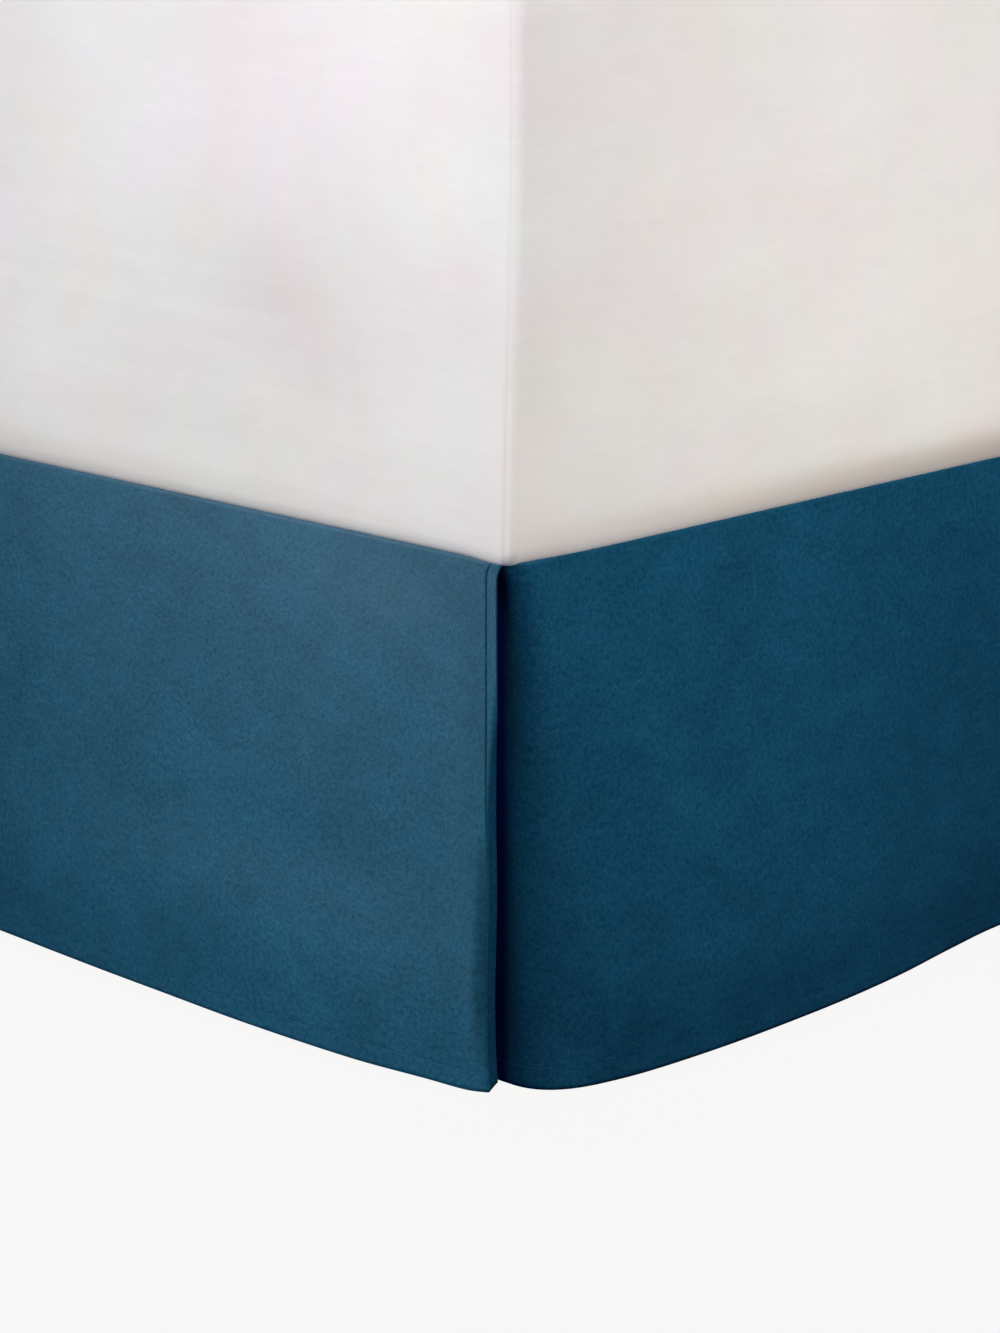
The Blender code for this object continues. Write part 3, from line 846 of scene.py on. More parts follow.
def make_deck_cloth():
    """The flat cloth over the foundation: its seamed edge rolls down to the fold."""
    right = [Vector((CORNER.x + plan.x, CORNER.y + plan.y)) for plan in deck_edge()]
    outline = right + [Vector((-point.x, point.y)) for point in reversed(right)]
    shape = bmesh.new()
    layer = shape.loops.layers.uv.new("cloth")
    loops = []
    for ring in DECK_RINGS:
        loop = []
        for point in outline:
            inner = point - point.normalized() * ring.inset * DECK_RING_SPREAD
            loop.append(shape.verts.new((inner.x, inner.y, ring.height)))
        loops.append(loop)
    for outer, inner in zip(loops, loops[1:]):
        bridge(shape, outer, inner)
    shape.faces.new(loops[-1])
    for face in shape.faces:
        for corner in face.loops:
            corner[layer].uv = (corner.vert.co.x + DECK_PATTERN, corner.vert.co.y)
    piece = object_from(shape, "skirt_deck")
    solid = piece.modifiers.new("thickness", "SOLIDIFY")
    solid.thickness = DECK_CLOTH
    solid.offset = -1.0
    apply_modifiers(piece)
    return piece


# ---------------------------------------------------------------- mattress and foundation

def rounded_outline(half_x, half_y, radius, step, corner_steps):
    """Plan points round a rounded rectangle from the foot's right corner, anticlockwise.

    The count depends on the steps alone, so outlines of different sizes join point to point.
    """
    radius = min(radius, half_x, half_y)
    outline = []
    sides = ((1, -1, BED_LENGTH), (1, 1, BED_WIDTH), (-1, 1, BED_LENGTH), (-1, -1, BED_WIDTH))
    for index, (sign_x, sign_y, length) in enumerate(sides):
        centre = Vector((sign_x * (half_x - radius), sign_y * (half_y - radius)))
        outline += arc(centre, radius, 90 * index - 90, 90 * index, corner_steps)
        next_x, next_y, _ = sides[(index + 1) % len(sides)]
        next_centre = Vector((next_x * (half_x - radius), next_y * (half_y - radius)))
        out = arc(Vector((0.0, 0.0)), radius, 90 * index, 90 * index, 1)[0]
        count = round(length / step)
        for side_step in range(1, count):
            part = side_step / count
            part -= CORNER_CROWDING * math.sin(2 * math.pi * part) / (2 * math.pi)
            outline.append(centre.lerp(next_centre, part) + out)
    return outline


def loft(name, loops):
    """Closed solid through loops of equal count, bottom first, capped at both ends."""
    shape = bmesh.new()
    made = [[shape.verts.new(point) for point in loop] for loop in loops]
    for lower, upper in zip(made, made[1:]):
        bridge(shape, lower, upper)
    shape.faces.new(list(reversed(made[0])))
    shape.faces.new(made[-1])
    return object_from(shape, name)


def mattress_levels():
    """(height, inset, corner radius) of each loop of the mattress, bottom middle to top middle."""
    levels = [(MATTRESS_BOTTOM, inset, UNDERSIDE_CORNER) for inset in UNDERSIDE_INSETS]
    for row in LOWER_EDGE:
        levels.append((MATTRESS_BOTTOM + row.rise, row.inset, MATTRESS_CORNER))
    for index in range(EDGE_STEPS):
        turn = math.radians(90) * index / EDGE_STEPS
        rise = EDGE_ROLL_UP * (1 - math.cos(turn)) - EDGE_DIP
        inset = EDGE_ROLL_IN * (1 - math.sin(turn))
        levels.append((MATTRESS_BOTTOM + rise, inset, MATTRESS_CORNER))
    side_starts = MATTRESS_BOTTOM + EDGE_ROLL_UP - EDGE_DIP
    side_ends = MATTRESS_TOP - MATTRESS_TOP_EDGE - MATTRESS_CROWN
    for height in spread(side_starts, side_ends, MATTRESS_STEP):
        levels.append((height, 0.0, MATTRESS_CORNER))
    for index in range(TOP_EDGE_STEPS + 1):
        turn = math.radians(90) * index / TOP_EDGE_STEPS
        inset = MATTRESS_TOP_EDGE * (1 - math.cos(turn))
        height = side_ends + MATTRESS_TOP_EDGE * math.sin(turn)
        levels.append((height, inset, MATTRESS_CORNER + inset * TOP_EDGE_ROUNDING))
    edge_height = side_ends + MATTRESS_TOP_EDGE
    for inset in spread(MATTRESS_TOP_EDGE, TOP_MIDDLE, TOP_STEP)[1:]:
        share = min((inset - MATTRESS_TOP_EDGE) / CROWN_REACH, 1.0)
        height = edge_height + MATTRESS_CROWN * math.sin(share * math.pi / 2) * CROWN_RISE
        levels.append((height, inset, TOP_CORNER + inset * TOP_ROUNDING))
    return levels


def sheet_forms(forms, creases, across, height):
    """Depth of the dents and drag lines of the sheet at a place on one face."""
    depth = patches(forms, across, height, "depth")
    for crease in creases:
        off = height - crease.height - crease.slope * (across - crease.start)
        length = smooth_step(crease.start, crease.start + CREASE_FADE_IN, across)
        length *= 1 - smooth_step(crease.end - CREASE_FADE_OUT, crease.end, across)
        depth += crease.depth * length * bell(off, SHEET_CREASE_HALF)
    return depth


def unevenness(waves, point):
    """Soft random rise and fall at a place, from a table of waves."""
    return sum(wave.depth * noise.noise(Vector((point.x * wave.x, point.y * wave.y,
                                                point.z * wave.z + wave.start)))
               for wave in waves)


def mattress_shift(point, inset):
    """How the stuffed mattress and its sheet depart from a plain rounded block."""
    height_share = (point.z - MATTRESS_BOTTOM) / (MATTRESS_TOP - MATTRESS_BOTTOM)
    face = smooth_step(*FORMS_START, height_share) * (1 - smooth_step(*FORMS_END, height_share))
    on_foot = BED_LENGTH / 2 - abs(point.y) < BED_WIDTH / 2 - abs(point.x)
    half = BED_WIDTH / 2 if on_foot else BED_LENGTH / 2
    from_corner = half - abs(point.x if on_foot else point.y)
    belly = MATTRESS_BELLY * math.sin(math.pi * min(max(height_share, 0), 1))
    tables = (FOOT_DENTS, FOOT_CREASES) if on_foot else (SIDE_DENTS, SIDE_CREASES)
    forms = sheet_forms(*tables, abs(from_corner), point.z)
    out = (belly + unevenness(FACE_WAVES, point) + forms) * face
    out *= smooth_step(*FORMS_FROM_CORNER, from_corner)
    axis = 1 if on_foot else 0
    shift = Vector((0, 0, 0))
    shift[axis] = math.copysign(1, point[axis]) * out
    if inset > TOP_WAVES_FROM and height_share > 0.5:
        on_top = smooth_step(TOP_WAVES_FROM, TOP_WAVES_FULL, inset)
        shift.z += (unevenness(TOP_WAVES, point) - TOP_SETTLE) * on_top
    return shift


def corner_draw(point):
    """How far the tight corners of the fitted sheet draw the mattress in sideways, low down."""
    from_end = BED_LENGTH / 2 + MATTRESS_OUT - abs(point.y)
    from_side = BED_WIDTH / 2 + MATTRESS_OUT - abs(point.x)
    low = 1 - smooth_step(*DRAW_ENDS, point.z)
    near = bell(from_end, DRAW_HALF) * (1 - smooth_step(0.0, DRAW_REACH, from_side))
    return CORNER_DRAW * low * near


def corner_sag(from_side, from_end, inset, height):
    """How far the lower edge of the foot face hangs down close to each corner."""
    near = bell(from_side - SAG_IN, SAG_HALF) * (1 - smooth_step(*SAG_ROUND, from_end))
    near *= 1 - smooth_step(EDGE_ROLL_IN, LOWER_EDGE[-3].inset, inset)
    return CORNER_SAG * near * (1 - smooth_step(MATTRESS_BOTTOM, SAG_TOP, height))


def sheet_seam(from_side, from_end, half_width):
    """1 on the corner seams of the fitted sheet, on the end faces close to each corner."""
    on_end = 1 - smooth_step(0.0, SHEET_SEAM_FADE, from_end - SHEET_SEAM_FACE)
    return bell(from_side - SHEET_SEAM_IN, half_width) * on_end


def sheet_painted_light_and_seam(point, from_side, from_end):
    """Brightness of the sheet at a place, about 1: its painted light and shade, less its seam
    line.
    """
    on_foot = from_end < from_side
    tones = FOOT_PAINTED_LIGHT if on_foot else SIDE_PAINTED_LIGHT
    across = from_side if on_foot else from_end
    clear = 1 - SEAM_TONE_LOSS * smooth_step(*SEAM_TONE_FADES, point.z)
    seam = SEAM_TONE * clear * sheet_seam(from_side, from_end, SEAM_TONE_HALF)
    return 1 + patches(tones, across, point.z, "tone") - seam


def make_mattress():
    """The mattress in its fitted sheet: soft lower edge, tight corners and crowned top."""
    loops = []
    tones = []
    for height, inset, radius in mattress_levels():
        half_x = BED_WIDTH / 2 + MATTRESS_OUT - inset
        half_y = BED_LENGTH / 2 + MATTRESS_OUT - inset
        loop = []
        for plan in rounded_outline(half_x, half_y, radius, OUTLINE_STEP, OUTLINE_CORNER_STEPS):
            from_side, from_end = half_x - abs(plan.x), half_y - abs(plan.y)
            point = Vector((plan.x, plan.y, height))
            # each point keeps the sheet's painted light and shade and the dark line of its corner
            # seams
            tones.append(sheet_painted_light_and_seam(point, from_side, from_end))
            point += mattress_shift(point, inset)
            point.x -= math.copysign(corner_draw(point), plan.x)
            if plan.y < 0:
                point.z -= corner_sag(from_side, from_end, inset, height)
            if inset < MATTRESS_TOP_EDGE:
                sink = SHEET_SEAM_DEPTH * sheet_seam(from_side, from_end, SHEET_SEAM_HALF)
                point.y -= math.copysign(sink, plan.y)
            loop.append(point)
        loops.append(loop)
    piece = loft("mattress_in_sheet", loops)
    piece.data.attributes.new("tone", "FLOAT", "POINT").data.foreach_set("value", tones)
    return piece


def make_foundation():
    """The upholstered foundation: a tight ticking cover with piping round both edges."""
    low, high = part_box("foundation")
    half_x, half_y = high.x, high.y
    profile = [(low.z, inset) for inset in COVER_INSETS]
    profile += piping_profile(low.z + PIPING + PIPING_SEAT, True)
    for height in spread(low.z + COVER_STEP, high.z - COVER_STEP, COVER_STEP):
        share = (height - low.z) / (high.z - low.z)
        profile.append((height, COVER_INSET - COVER_BELLY * math.sin(math.pi * share)))
    profile += piping_profile(high.z - PIPING - PIPING_SEAT, False)
    profile += [(high.z, inset) for inset in reversed(COVER_INSETS)]
    loops = []
    for height, inset in profile:
        radius = max(COVER_CORNER - inset, COVER_CORNER / 2)
        outline = rounded_outline(half_x - inset, half_y - inset, radius, COVER_OUTLINE_STEP,
                                  COVER_CORNER_STEPS)
        loops.append([Vector((plan.x, plan.y, height)) for plan in outline])
    return loft("foundation_cover", loops)


def piping_profile(centre, is_lower):
    """Rows that run round a piping cord, from the underside up or from the side up."""
    cord = arc(Vector((centre, PIPING)), PIPING, *PIPING_ROUND, PIPING_STEPS)
    rows = [(point.x, point.y) for point in cord]
    if is_lower:
        return rows + [(centre + PIPING_REACH, PIPING_GUTTER)]
    return [(centre - PIPING_REACH, PIPING_GUTTER)] + rows


# ---------------------------------------------------------------- stitches

def stitch_tree(material):
    """Geometry Nodes that lay one thread at even places along every path."""
    tree = bpy.data.node_groups.new("stitch_run", "GeometryNodeTree")
    sockets = (("Geometry", "INPUT", "NodeSocketGeometry", None),
               ("Pitch", "INPUT", "NodeSocketFloat", STITCH_PITCH),
               ("Length", "INPUT", "NodeSocketFloat", STITCH_LENGTH),
               ("Thread", "INPUT", "NodeSocketFloat", THREAD_RADIUS),
               ("Geometry", "OUTPUT", "NodeSocketGeometry", None))
    for label, way, kind, value in sockets:
        socket = tree.interface.new_socket(label, in_out=way, socket_type=kind)
        if value is not None:
            socket.default_value = value
    given = tree.nodes.new("NodeGroupInput")
    result = tree.nodes.new("NodeGroupOutput")
    to_curve = node(tree, "GeometryNodeMeshToCurve", {"Mesh": given.outputs["Geometry"]})
    even = node(tree, "GeometryNodeResampleCurve", {"Curve": to_curve.outputs[0],
                                                   "Length": given.outputs["Pitch"]},
                mode="LENGTH")
    tangent = node(tree, "GeometryNodeInputTangent").outputs[0]
    turn = node(tree, "FunctionNodeAlignRotationToVector", {"Vector": tangent}, axis="Z")
    thread = node(tree, "GeometryNodeMeshCylinder",
                  {"Vertices": THREAD_SIDES, "Radius": given.outputs["Thread"],
                   "Depth": given.outputs["Length"]})
    laid = node(tree, "GeometryNodeInstanceOnPoints",
                {"Points": even.outputs[0], "Instance": thread.outputs["Mesh"],
                 "Rotation": turn.outputs[0]})
    real = node(tree, "GeometryNodeRealizeInstances", {"Geometry": laid.outputs[0]})
    painted = node(tree, "GeometryNodeSetMaterial", {"Geometry": real.outputs[0],
                                                    "Material": material})
    tree.links.new(painted.outputs[0], result.inputs[0])
    return tree


def make_stitches(name, paths, material):
    """One mesh of stitches along all the paths."""
    shape = bmesh.new()
    for path in paths:
        verts = [shape.verts.new(point) for point in path]
        for first, second in zip(verts, verts[1:]):
            shape.edges.new((first, second))
    piece = object_from(shape, name)
    run = piece.modifiers.new("stitches", "NODES")
    run.node_group = stitch_tree(material)
    apply_modifiers(piece)
    piece.data.materials.clear()
    piece.data.materials.append(material)
    return piece


def foot_stitch(distance, down, side):
    """Place of a stitch on the outside of the foot drop."""
    plan, height = foot_cloth_point(distance, down, side)
    return (side * (CORNER.x + plan.x), CORNER.y + plan.y - STITCH_PROUD, height)


def stitch_paths():
    """Lines of stitching: the foot drop's ends, the side drops' head ends and every hem."""
    paths = []
    downs = [level / STITCH_LEVELS for level in range(2, STITCH_LEVELS - 1)]
    for side in (1, -1):
        paths.append([foot_stitch(SIDE_HEM, down, side) for down in downs])
        head = [walk_outline(side_outline(down), [SIDE_HEM])[0] for down in downs]
        paths.append([(side * (CORNER.x + plan.x + STITCH_PROUD - HEAD_GROOVE), CORNER.y + plan.y,
                       SEAM_Z - DROP * down) for plan, down in zip(head, downs)])
    halves = [[foot_stitch(distance, HEM_LINE, side)
               for distance in spread(HEM_LINE_START, FOOT_HALF, STITCH_LINE_STEP)]
              for side in (1, -1)]
    paths.append(halves[0] + halves[1][::-1])
    distances = spread(HEM_LINE_START, BED_LENGTH + HEM_LINE_WRAP, STITCH_LINE_STEP)
    points = walk_outline(side_outline(HEM_LINE), distances)
    proud = [point + normal * STITCH_PROUD
             for point, normal in zip(points, inward_normals(points))]
    for side in (1, -1):
        paths.append([(side * (CORNER.x + point.x), CORNER.y + point.y,
                       SEAM_Z - DROP * HEM_LINE) for point in proud])
    return paths


# ---------------------------------------------------------------- materials

# Teal of the cloth: between its fibres, on its brushed ground and at the fibre tips, whose pale
# flecks are partly painted glint of the fibres
TEAL_DEEP = (0.0004, 0.0390, 0.076)
TEAL_FULL = (0.0012, 0.0530, 0.100)
TEAL_TIP_AND_GLINT = (0.0155, 0.0810, 0.132)
# colours that the painted shade darkens the side drops and the foot drop towards
SIDE_PAINTED_SHADE_TINT = (0.02, 0.05, 0.42)
FOOT_PAINTED_SHADE_TINT = (0.0, 0.14, 0.10)
SKIRT_GLOSS = 0.08

# Tints over the white of the sheet, each by a value of its own; by tone the painted shade turns
# brown
SheetTint = namedtuple("SheetTint", "by low high at_low at_high")
SHEET_TINTS = (
    SheetTint("hue", 0.40, 0.60, (1.0, 0.970, 0.992), (0.978, 1.0, 0.982)),
    SheetTint("warmth", 0.42, 0.62, (0.990, 1.0, 1.0), (1.0, 0.985, 0.962)),
    SheetTint("level", 0.44, 0.66, (1.0, 1.0, 0.972), (0.998, 0.992, 1.0)),
    SheetTint("tone", 0.55, 1.00, (1.0, 0.935, 0.850), (1.0, 1.0, 1.0)),
)


def feed(tree, socket, value):
    """Link a socket to another one, or set its own value."""
    if isinstance(value, bpy.types.NodeSocket):
        tree.links.new(value, socket)
    else:
        socket.default_value = value


def node(tree, kind, inputs=None, **settings):
    """Add a node, set it and fill or link its inputs."""
    made = tree.nodes.new(kind)
    for label, value in settings.items():
        setattr(made, label, value)
    for label, value in (inputs or {}).items():
        feed(tree, made.inputs[label], value)
    return made


def mix_colour(tree, share, first, second, blend="MIX"):
    """Colour between two colours or colour sockets."""
    mixer = node(tree, "ShaderNodeMix", data_type="RGBA", blend_type=blend)
    feed(tree, mixer.inputs[0], share)
    for index, value in ((6, first), (7, second)):
        is_socket = isinstance(value, bpy.types.NodeSocket)
        feed(tree, mixer.inputs[index], value if is_socket else (*value, 1.0))
    return mixer.outputs[2]


def object_place(tree):
    """Coordinates fixed to the piece."""
    return node(tree, "ShaderNodeTexCoord").outputs["Object"]


def scaled(tree, vector, size):
    """Coordinates stretched by a size for each axis."""
    return node(tree, "ShaderNodeMapping", {"Vector": vector, "Scale": size}).outputs[0]


def noise_value(tree, vector, scale, detail=2.0, roughness=0.5, distortion=0.0):
    """Noise from 0 to 1 at so many features a metre."""
    return node(tree, "ShaderNodeTexNoise",
                {"Vector": vector, "Scale": scale, "Detail": detail, "Roughness": roughness,
                 "Distortion": distortion}).outputs[0]


def ribs(tree, vector, scale, distortion, way):
    """Even ribs from 0 to 1 across the given way."""
    return node(tree, "ShaderNodeTexWave",
                {"Vector": vector, "Scale": scale, "Distortion": distortion},
                bands_direction=way).outputs["Fac"]


def to_range(tree, value, low, high, out_low=0.0, out_high=1.0):
    """A value moved from one range to another and held there."""
    return node(tree, "ShaderNodeMapRange",
                {"Value": value, "From Min": low, "From Max": high, "To Min": out_low,
                 "To Max": out_high}).outputs[0]


def maths(tree, operation, first, second):
    """Two numbers put together."""
    made = node(tree, "ShaderNodeMath", operation=operation)
    feed(tree, made.inputs[0], first)
    feed(tree, made.inputs[1], second)
    return made.outputs[0]


def blended(tree, first, share, second):
    """Two values added, the first with its share and the second with the rest."""
    return maths(tree, "ADD", maths(tree, "MULTIPLY", first, share),
                 maths(tree, "MULTIPLY", second, 1 - share))


def point_value(tree, name):
    """The value that each point of the piece carries under this name."""
    return node(tree, "ShaderNodeAttribute", attribute_name=name).outputs["Fac"]


def new_finish(name):
    """A material with only its shader, and that shader."""
    material = bpy.data.materials.new(name)
    material.use_nodes = True
    return material, material.node_tree, material.node_tree.nodes["Principled BSDF"]


def bump_of(tree, relief, strength, distance):
    """A relief over the piece's surface."""
    return node(tree, "ShaderNodeBump",
                {"Strength": strength, "Distance": distance, "Height": relief})


def set_finish(tree, shader, colour, roughness, bump):
    """Give the shader its colour, its roughness and its relief."""
    for label, value in (("Base Color", colour), ("Roughness", roughness),
                         ("Normal", bump.outputs[0])):
        feed(tree, shader.inputs[label], value)


def brushed_microfibre(name, painted_shade_tint):
    """Teal brushed cloth: pale fibre tips, partly painted glint, over a deeper ground, brushed
    into soft patches.
    """
    material, tree, shader = new_finish(name)
    place = node(tree, "ShaderNodeUVMap", uv_map="cloth").outputs[0]
    grain = noise_value(tree, scaled(tree, place, (1.0, 0.72, 1.0)), 560, 3.0, 0.62)
    fleck = noise_value(tree, scaled(tree, place, (1.0, 0.85, 1.0)), 250, 2.0, 0.55)
    brushed = noise_value(tree, scaled(tree, place, (1.0, 1.4, 1.0)), 30, 5.0, 0.62, 0.5)
    cloud = noise_value(tree, place, 7.5, 3.0, 0.5, 0.4)
    patch = blended(tree, brushed, 0.5, cloud)
    ground = mix_colour(tree, to_range(tree, patch, 0.38, 0.62), TEAL_DEEP, TEAL_FULL)
    tip_and_glint = mix_colour(tree, to_range(tree, patch, 0.39, 0.61), [part * 0.86 for part in TEAL_TIP_AND_GLINT],
                      [part * 1.12 for part in TEAL_TIP_AND_GLINT])
    fibres = blended(tree, grain, 0.6, fleck)
    tips = mix_colour(tree, to_range(tree, fibres, 0.365, 0.635), ground, tip_and_glint)
    # painted shade: the value each point carries darkens the cloth towards the painted shade tint
    # and dims its gloss
    shade = point_value(tree, "shade")
    shaded = mix_colour(tree, shade, tips, painted_shade_tint, "MULTIPLY")
    fuzz = noise_value(tree, place, 1500, 2.0, 0.6)
    rough = maths(tree, "ADD", to_range(tree, fibres, 0.3, 0.7, 0.46, 0.56),
                  maths(tree, "MULTIPLY", shade, 0.9))
    nap = bump_of(tree, blended(tree, fibres, 0.8, fuzz), 0.45, 0.0008)
    set_finish(tree, shader, shaded, rough, nap)
    shader.inputs["Specular IOR Level"].default_value = SKIRT_GLOSS
    return material


def thread_finish():
    """Teal sewing thread with its twist."""
    material, tree, shader = new_finish("teal sewing thread")
    twist = ribs(tree, object_place(tree), 900, 1.5, "DIAGONAL")
    colour = mix_colour(tree, twist, (0.0020, 0.0360, 0.072), (0.0030, 0.0500, 0.098))
    set_finish(tree, shader, colour, 0.6, bump_of(tree, twist, 0.4, 0.0001))
    shader.inputs["Specular IOR Level"].default_value = SKIRT_GLOSS
    return material


def white_cotton():
    """Fitted sheet: fine plain weave, faint cross wrinkles, slight unevenness of its white and
    painted light and shade.
    """
    material, tree, shader = new_finish("white cotton sheet")
    place = object_place(tree)
    across = scaled(tree, place, (1.0, 1.0, 5.0))
    weave = noise_value(tree, place, 900, 2.0, 0.5)
    slub = noise_value(tree, across, 24, 4.0, 0.6, 0.8)
    crease = noise_value(tree, across, 6.0, 4.0, 0.55, 0.9)
    broad = noise_value(tree, place, 5.0, 4.0, 0.6, 0.4)
    hue = noise_value(tree, scaled(tree, place, (1.0, 1.0, 1.4)), 6.5, 3.0, 0.55, 0.5)
    warmth = noise_value(tree, scaled(tree, place, (1.3, 1.3, 1.0)), 8.0, 4.0, 0.6, 0.8)
    level = node(tree, "ShaderNodeSeparateXYZ", {"Vector": place}).outputs["Z"]
    tone = point_value(tree, "tone")
    tinted = mix_colour(tree, to_range(tree, blended(tree, slub, 0.3, broad), 0.36, 0.64),
                        (0.810, 0.790, 0.775), (0.865, 0.848, 0.835))
    values = {"hue": hue, "warmth": warmth, "level": level, "tone": tone}
    for tint in SHEET_TINTS:
        layer = mix_colour(tree, to_range(tree, values[tint.by], tint.low, tint.high),
                           tint.at_low, tint.at_high)
        tinted = mix_colour(tree, 1.0, tinted, layer, "MULTIPLY")
    # painted light and shade: the sheet's colour scaled by the tone value each point carries
    with_painted_light = node(tree, "ShaderNodeVectorMath", {"Vector": tinted, "Scale": tone},
                 operation="SCALE").outputs[0]
    wrinkles = bump_of(tree, crease, 0.14, 0.004)
    feed(tree, wrinkles.inputs["Normal"], bump_of(tree, weave, 0.07, 0.0003).outputs[0])
    rough = to_range(tree, weave, 0.3, 0.7, 0.80, 0.92)
    set_finish(tree, shader, with_painted_light, rough, wrinkles)
    shader.inputs["Specular IOR Level"].default_value = 0.2
    shader.inputs["Sheen Weight"].default_value = 0.08
    return material


def woven_ticking():
    """Foundation cover: off-white cloth with a close twill and a faint stripe."""
    material, tree, shader = new_finish("foundation ticking")
    place = object_place(tree)
    twill = ribs(tree, place, 260, 0.6, "DIAGONAL")
    stripe = ribs(tree, place, 14, 0.2, "X")
    mottled = noise_value(tree, place, 60, 3.0, 0.6)
    ground = mix_colour(tree, mottled, (0.66, 0.64, 0.60), (0.76, 0.745, 0.71))
    striped = mix_colour(tree, to_range(tree, stripe, 0.80, 0.95, 0.0, 0.35), ground,
                         (0.42, 0.44, 0.46))
    woven = mix_colour(tree, maths(tree, "MULTIPLY", twill, 0.25), striped, (0.55, 0.54, 0.51))
    set_finish(tree, shader, woven, 0.9, bump_of(tree, twill, 0.35, 0.0005))
    return material


def powder_coat():
    """Black powder-coated steel with its fine orange peel and rubbed places."""
    material, tree, shader = new_finish("black powder coat")
    place = object_place(tree)
    peel = noise_value(tree, place, 420, 2.0, 0.5)
    rubbed = noise_value(tree, place, 18, 4.0, 0.65)
    colour = mix_colour(tree, to_range(tree, rubbed, 0.52, 0.75), (0.016, 0.016, 0.017),
                        (0.045, 0.045, 0.047))
    rough = to_range(tree, rubbed, 0.3, 0.75, 0.50, 0.34)
    set_finish(tree, shader, colour, rough, bump_of(tree, peel, 0.35, 0.0004))
    shader.inputs["Metallic"].default_value = 0.3
    return material


def moulded_plastic():
    """Black moulded plastic of the glides, dusty near the floor."""
    material, tree, shader = new_finish("black moulded plastic")
    place = object_place(tree)
    spark = noise_value(tree, place, 900, 1.0, 0.5)
    dust = noise_value(tree, place, 45, 3.0, 0.6)
    colour = mix_colour(tree, to_range(tree, dust, 0.45, 0.8), (0.018, 0.018, 0.018),
                        (0.075, 0.072, 0.068))
    rough = to_range(tree, dust, 0.3, 0.7, 0.48, 0.72)
    set_finish(tree, shader, colour, rough, bump_of(tree, spark, 0.25, 0.0003))
    return material


# ---------------------------------------------------------------- the studio

STUDIO_REACH = 40.0
STUDIO_WALL = 25.0
WALL_SIDES = 96


def make_studio():
    """A plain pale studio floor and the wall round it, which light nothing themselves."""
    shape = bmesh.new()
    bmesh.ops.create_grid(shape, x_segments=1, y_segments=1, size=STUDIO_REACH * 1.1)
    floor = object_from(shape, "studio_floor")
    shape = bmesh.new()
    for level in (0.0, STUDIO_WALL):
        bmesh.ops.create_circle(shape, segments=WALL_SIDES, radius=STUDIO_REACH,
                                matrix=Matrix.Translation((0.0, 0.0, level)))
    bmesh.ops.bridge_loops(shape, edges=shape.edges)
    wall = object_from(shape, "studio_wall")
    material, _, shader = new_finish("pale studio floor")
    for label, value in (("Base Color", (0.12, 0.12, 0.12, 1.0)), ("Roughness", 1.0),
                         ("Specular IOR Level", 0.0), ("Emission Strength", 0.925),
                         ("Emission Color", (1.0, 0.996, 0.986, 1.0))):
        shader.inputs[label].default_value = value
    for part in (floor, wall):
        part.data.materials.append(material)
        part.visible_diffuse = False
        part.visible_glossy = False
    wall.visible_shadow = False


# Where the skirt's soft boxes are aimed, and two tints of light
AT_FOOT = (0.50, -1.03, 0.25)
AT_SIDE = (0.79, -0.75, 0.20)
WARM = (1.0, 0.936, 0.842)
COOL = (0.80, 0.965, 1.00)
Softbox = namedtuple("Softbox", "name lights place target width height power colour")
SOFTBOXES = (
    Softbox("foot_high", "foot", (0.355, -1.851, 1.113), AT_FOOT, 0.45, 0.45, 7.2,
            (1.0, 1.0, 0.98)),
    Softbox("foot_low", "foot", (0.708, -2.209, 0.334), AT_FOOT, 0.45, 0.45, 11.2,
            (1.0, 1.0, 0.98)),
    Softbox("foot_gleam", "gleam", (-0.20, -1.863, 0.757), AT_FOOT, 0.6, 0.6, 31.0,
            (1.0, 1.0, 1.0)),
    Softbox("foot_corner", "foot", (1.655, -1.153, 1.155), AT_SIDE, 0.5, 0.5, 9.6,
            (0.85, 1.0, 1.03)),
    Softbox("foot_sheet", "sheet", (0.80, -1.96, 1.05), (0.6, -1.02, 0.60), 0.8, 0.8, 7.8,
            (1.0, 0.958, 0.918)),
    Softbox("foot_sheet_wide", "sheet", (-0.90, -4.20, 1.20), (0.35, -1.02, 0.62), 2.4, 1.8, 69.0,
            (1.0, 0.958, 0.935)),
    Softbox("right", "sides", (2.520, -1.556, 2.110), AT_SIDE, 1.0, 1.0, 44.5, COOL),
    Softbox("right_back", "sides", (1.257, -0.423, 1.423), AT_SIDE, 0.5, 0.5, 12.5, COOL),
    Softbox("right_sheet", "sheet", (2.12, -0.60, 0.66), (0.77, -0.70, 0.60), 0.9, 0.9, 16.9,
            WARM),
    Softbox("right_sheet_back", "sheet", (2.05, 1.30, 0.90), (0.77, 0.90, 0.60), 0.9, 0.9, 9.5,
            WARM),
    Softbox("left", "sides", (-2.40, 0.00, 1.80), (-0.77, 0.0, 0.20), 1.6, 0.8, 45.0,
            (1.0, 1.0, 1.0)),
    Softbox("left_sheet", "sheet", (-2.60, 0.00, 1.00), (-0.77, 0.0, 0.60), 1.6, 0.8, 32.0,
            (1.0, 0.96, 0.90)),
    Softbox("head", "all", (0.20, 3.00, 1.50), (0.0, 1.02, 0.40), 1.6, 0.9, 42.0,
            (1.0, 0.96, 0.90)),
    Softbox("above", "sheet", (0.00, 0.20, 2.90), (0.0, 0.0, 0.80), 2.0, 2.0, 45.0,
            (1.0, 0.96, 0.91)),
)
SKIRT_LIGHTS = ("foot", "gleam", "sides")
AMBIENT = 0.06
AMBIENT_COLOUR = (0.45, 0.97, 2.20)


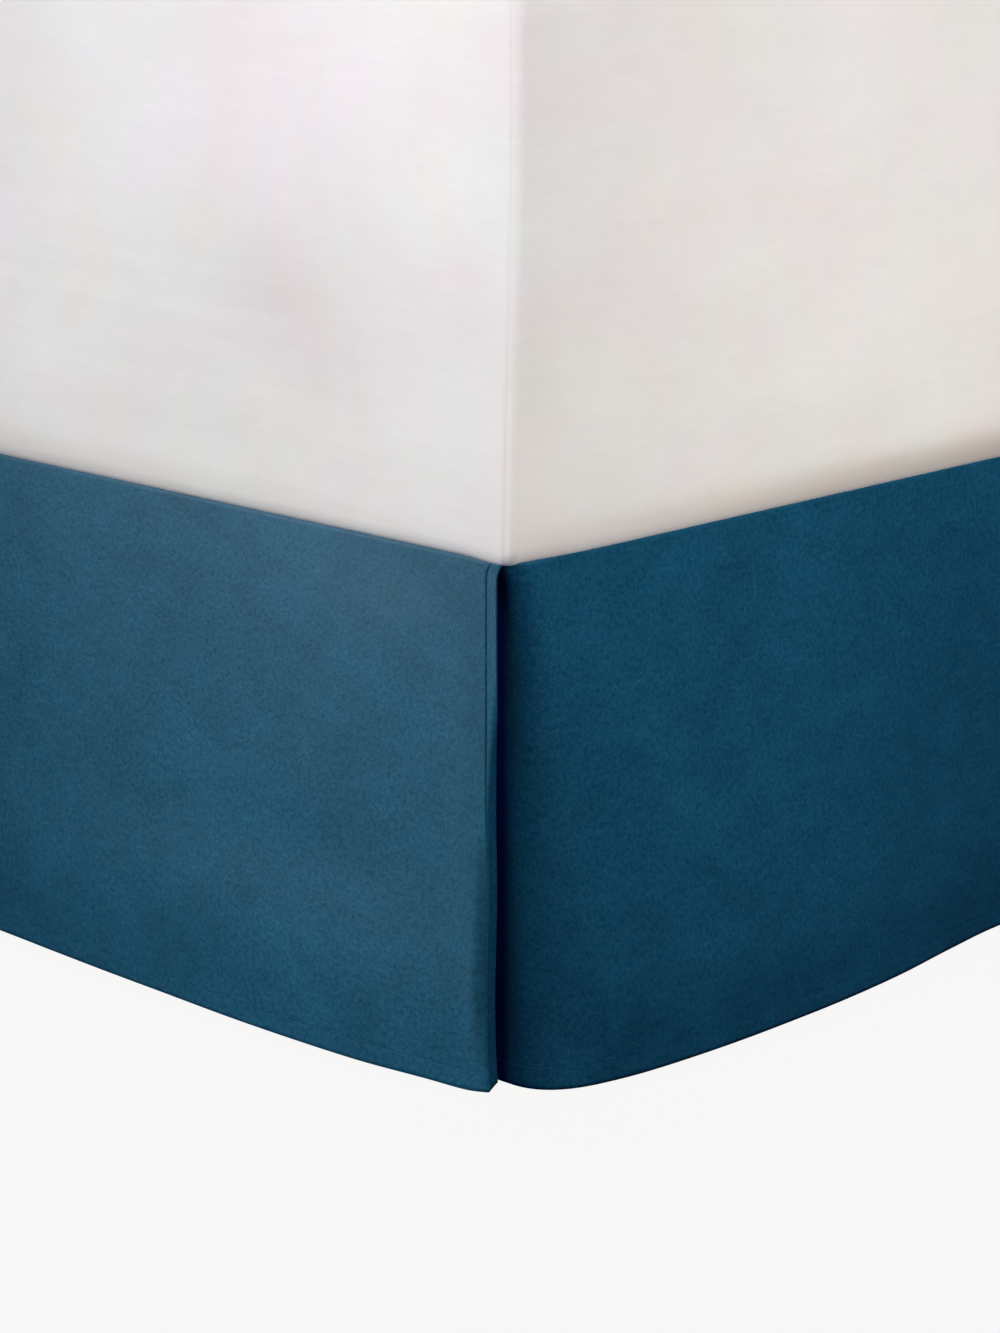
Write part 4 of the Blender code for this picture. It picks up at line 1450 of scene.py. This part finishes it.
def make_lights(groups):
    """Soft boxes round the bed, each on its own pieces, and a low even surround."""
    for box in SOFTBOXES:
        lamp = bpy.data.lights.new(box.name, "AREA")
        lamp.shape = "RECTANGLE"
        lamp.size = box.width
        lamp.size_y = box.height
        lamp.energy = box.power
        lamp.color = box.colour
        holder = bpy.data.objects.new(box.name, lamp)
        holder.location = box.place
        aim = Vector(box.target) - Vector(box.place)
        holder.rotation_euler = aim.to_track_quat("-Z", "Y").to_euler()
        holder.visible_camera = False
        holder.visible_diffuse = box.lights != "gleam"
        if box.lights in groups:
            holder.light_linking.receiver_collection = groups[box.lights]
        if box.lights in SKIRT_LIGHTS:
            holder.light_linking.blocker_collection = groups["skirt"]
        bpy.context.scene.collection.objects.link(holder)
    world = bpy.data.worlds.new("studio surround")
    world.use_nodes = True
    surround = world.node_tree.nodes["Background"]
    surround.inputs["Color"].default_value = (*AMBIENT_COLOUR, 1.0)
    surround.inputs["Strength"].default_value = AMBIENT
    bpy.context.scene.world = world
    bpy.context.scene.view_settings.view_transform = "Standard"


def light_group(name, pieces):
    """Pieces that one soft box lights."""
    group = bpy.data.collections.new(name)
    for piece in pieces:
        group.objects.link(piece)
    return group


CAMERA_PLACE = (3.0249, -3.3370, 1.1260)
CAMERA_TURN = math.radians(44.475)
CAMERA_TILT = math.radians(14.05)
CAMERA_LENS = 129.63


def make_camera():
    """Camera at the foot's right corner, a little above the mattress."""
    lens = bpy.data.cameras.new("camera")
    lens.sensor_width = 36.0
    lens.lens = CAMERA_LENS
    lens.clip_start = 0.05
    camera = bpy.data.objects.new("camera", lens)
    camera.location = CAMERA_PLACE
    level = math.cos(CAMERA_TILT)
    ahead = Vector((-math.sin(CAMERA_TURN) * level, math.cos(CAMERA_TURN) * level,
                    -math.sin(CAMERA_TILT)))
    camera.rotation_euler = ahead.to_track_quat("-Z", "Y").to_euler()
    bpy.context.scene.collection.objects.link(camera)
    bpy.context.scene.camera = camera


# ---------------------------------------------------------------- the dressed bed

def finish_frame():
    """Give the steel frame and its glides their finishes."""
    finishes = ((("rail", "cross_rail", "leg"), powder_coat()), (("glide",), moulded_plastic()))
    for label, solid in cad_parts.items():
        for starts, material in finishes:
            if label.startswith(starts):
                solid.data.materials.clear()
                solid.data.materials.append(material)


def dress_bed():
    """Make every piece, finish it and seat it on the frame."""
    # two copies of the cloth, which differ only in the tint of their painted shade
    cloth = brushed_microfibre("teal brushed microfibre", SIDE_PAINTED_SHADE_TINT)
    foot_cloth = brushed_microfibre("teal brushed microfibre foot", FOOT_PAINTED_SHADE_TINT)
    foot = make_foot_panel()
    right = make_side_panel("skirt_side_right", 1)
    left = make_side_panel("skirt_side_left", -1)
    deck = make_deck_cloth()
    stitches = make_stitches("skirt_stitches", stitch_paths(), thread_finish())
    mattress = make_mattress()
    cover = make_foundation()
    seats = ((foot, "foot_drop", "skirt_cloth", foot_cloth),
             (right, "side_drop_right", "skirt_cloth", cloth),
             (left, "side_drop_left", "skirt_cloth", cloth),
             (deck, "deck", "skirt_cloth", cloth),
             (mattress, "mattress", "bed_sheet", white_cotton()),
             (cover, "foundation", "ticking", woven_ticking()))
    for piece, solid, slot, material in seats:
        piece.data.materials.append(material)
        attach(piece, "root")
        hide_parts(solid)
    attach(stitches, "root")
    finish_frame()
    cloths = [foot, right, left, deck, stitches]
    everything = [*cloths, mattress, cover, *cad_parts.values()]
    return {"all": light_group("lit_all", everything),
            "foot": light_group("lit_foot", [foot, stitches]),
            "gleam": light_group("lit_gleam", [foot]),
            "sides": light_group("lit_sides", [right, left, stitches]),
            "sheet": light_group("lit_sheet", [mattress]),
            "skirt": light_group("shades_skirt", cloths)}


light_groups = dress_bed()
make_studio()
make_lights(light_groups)
make_camera()
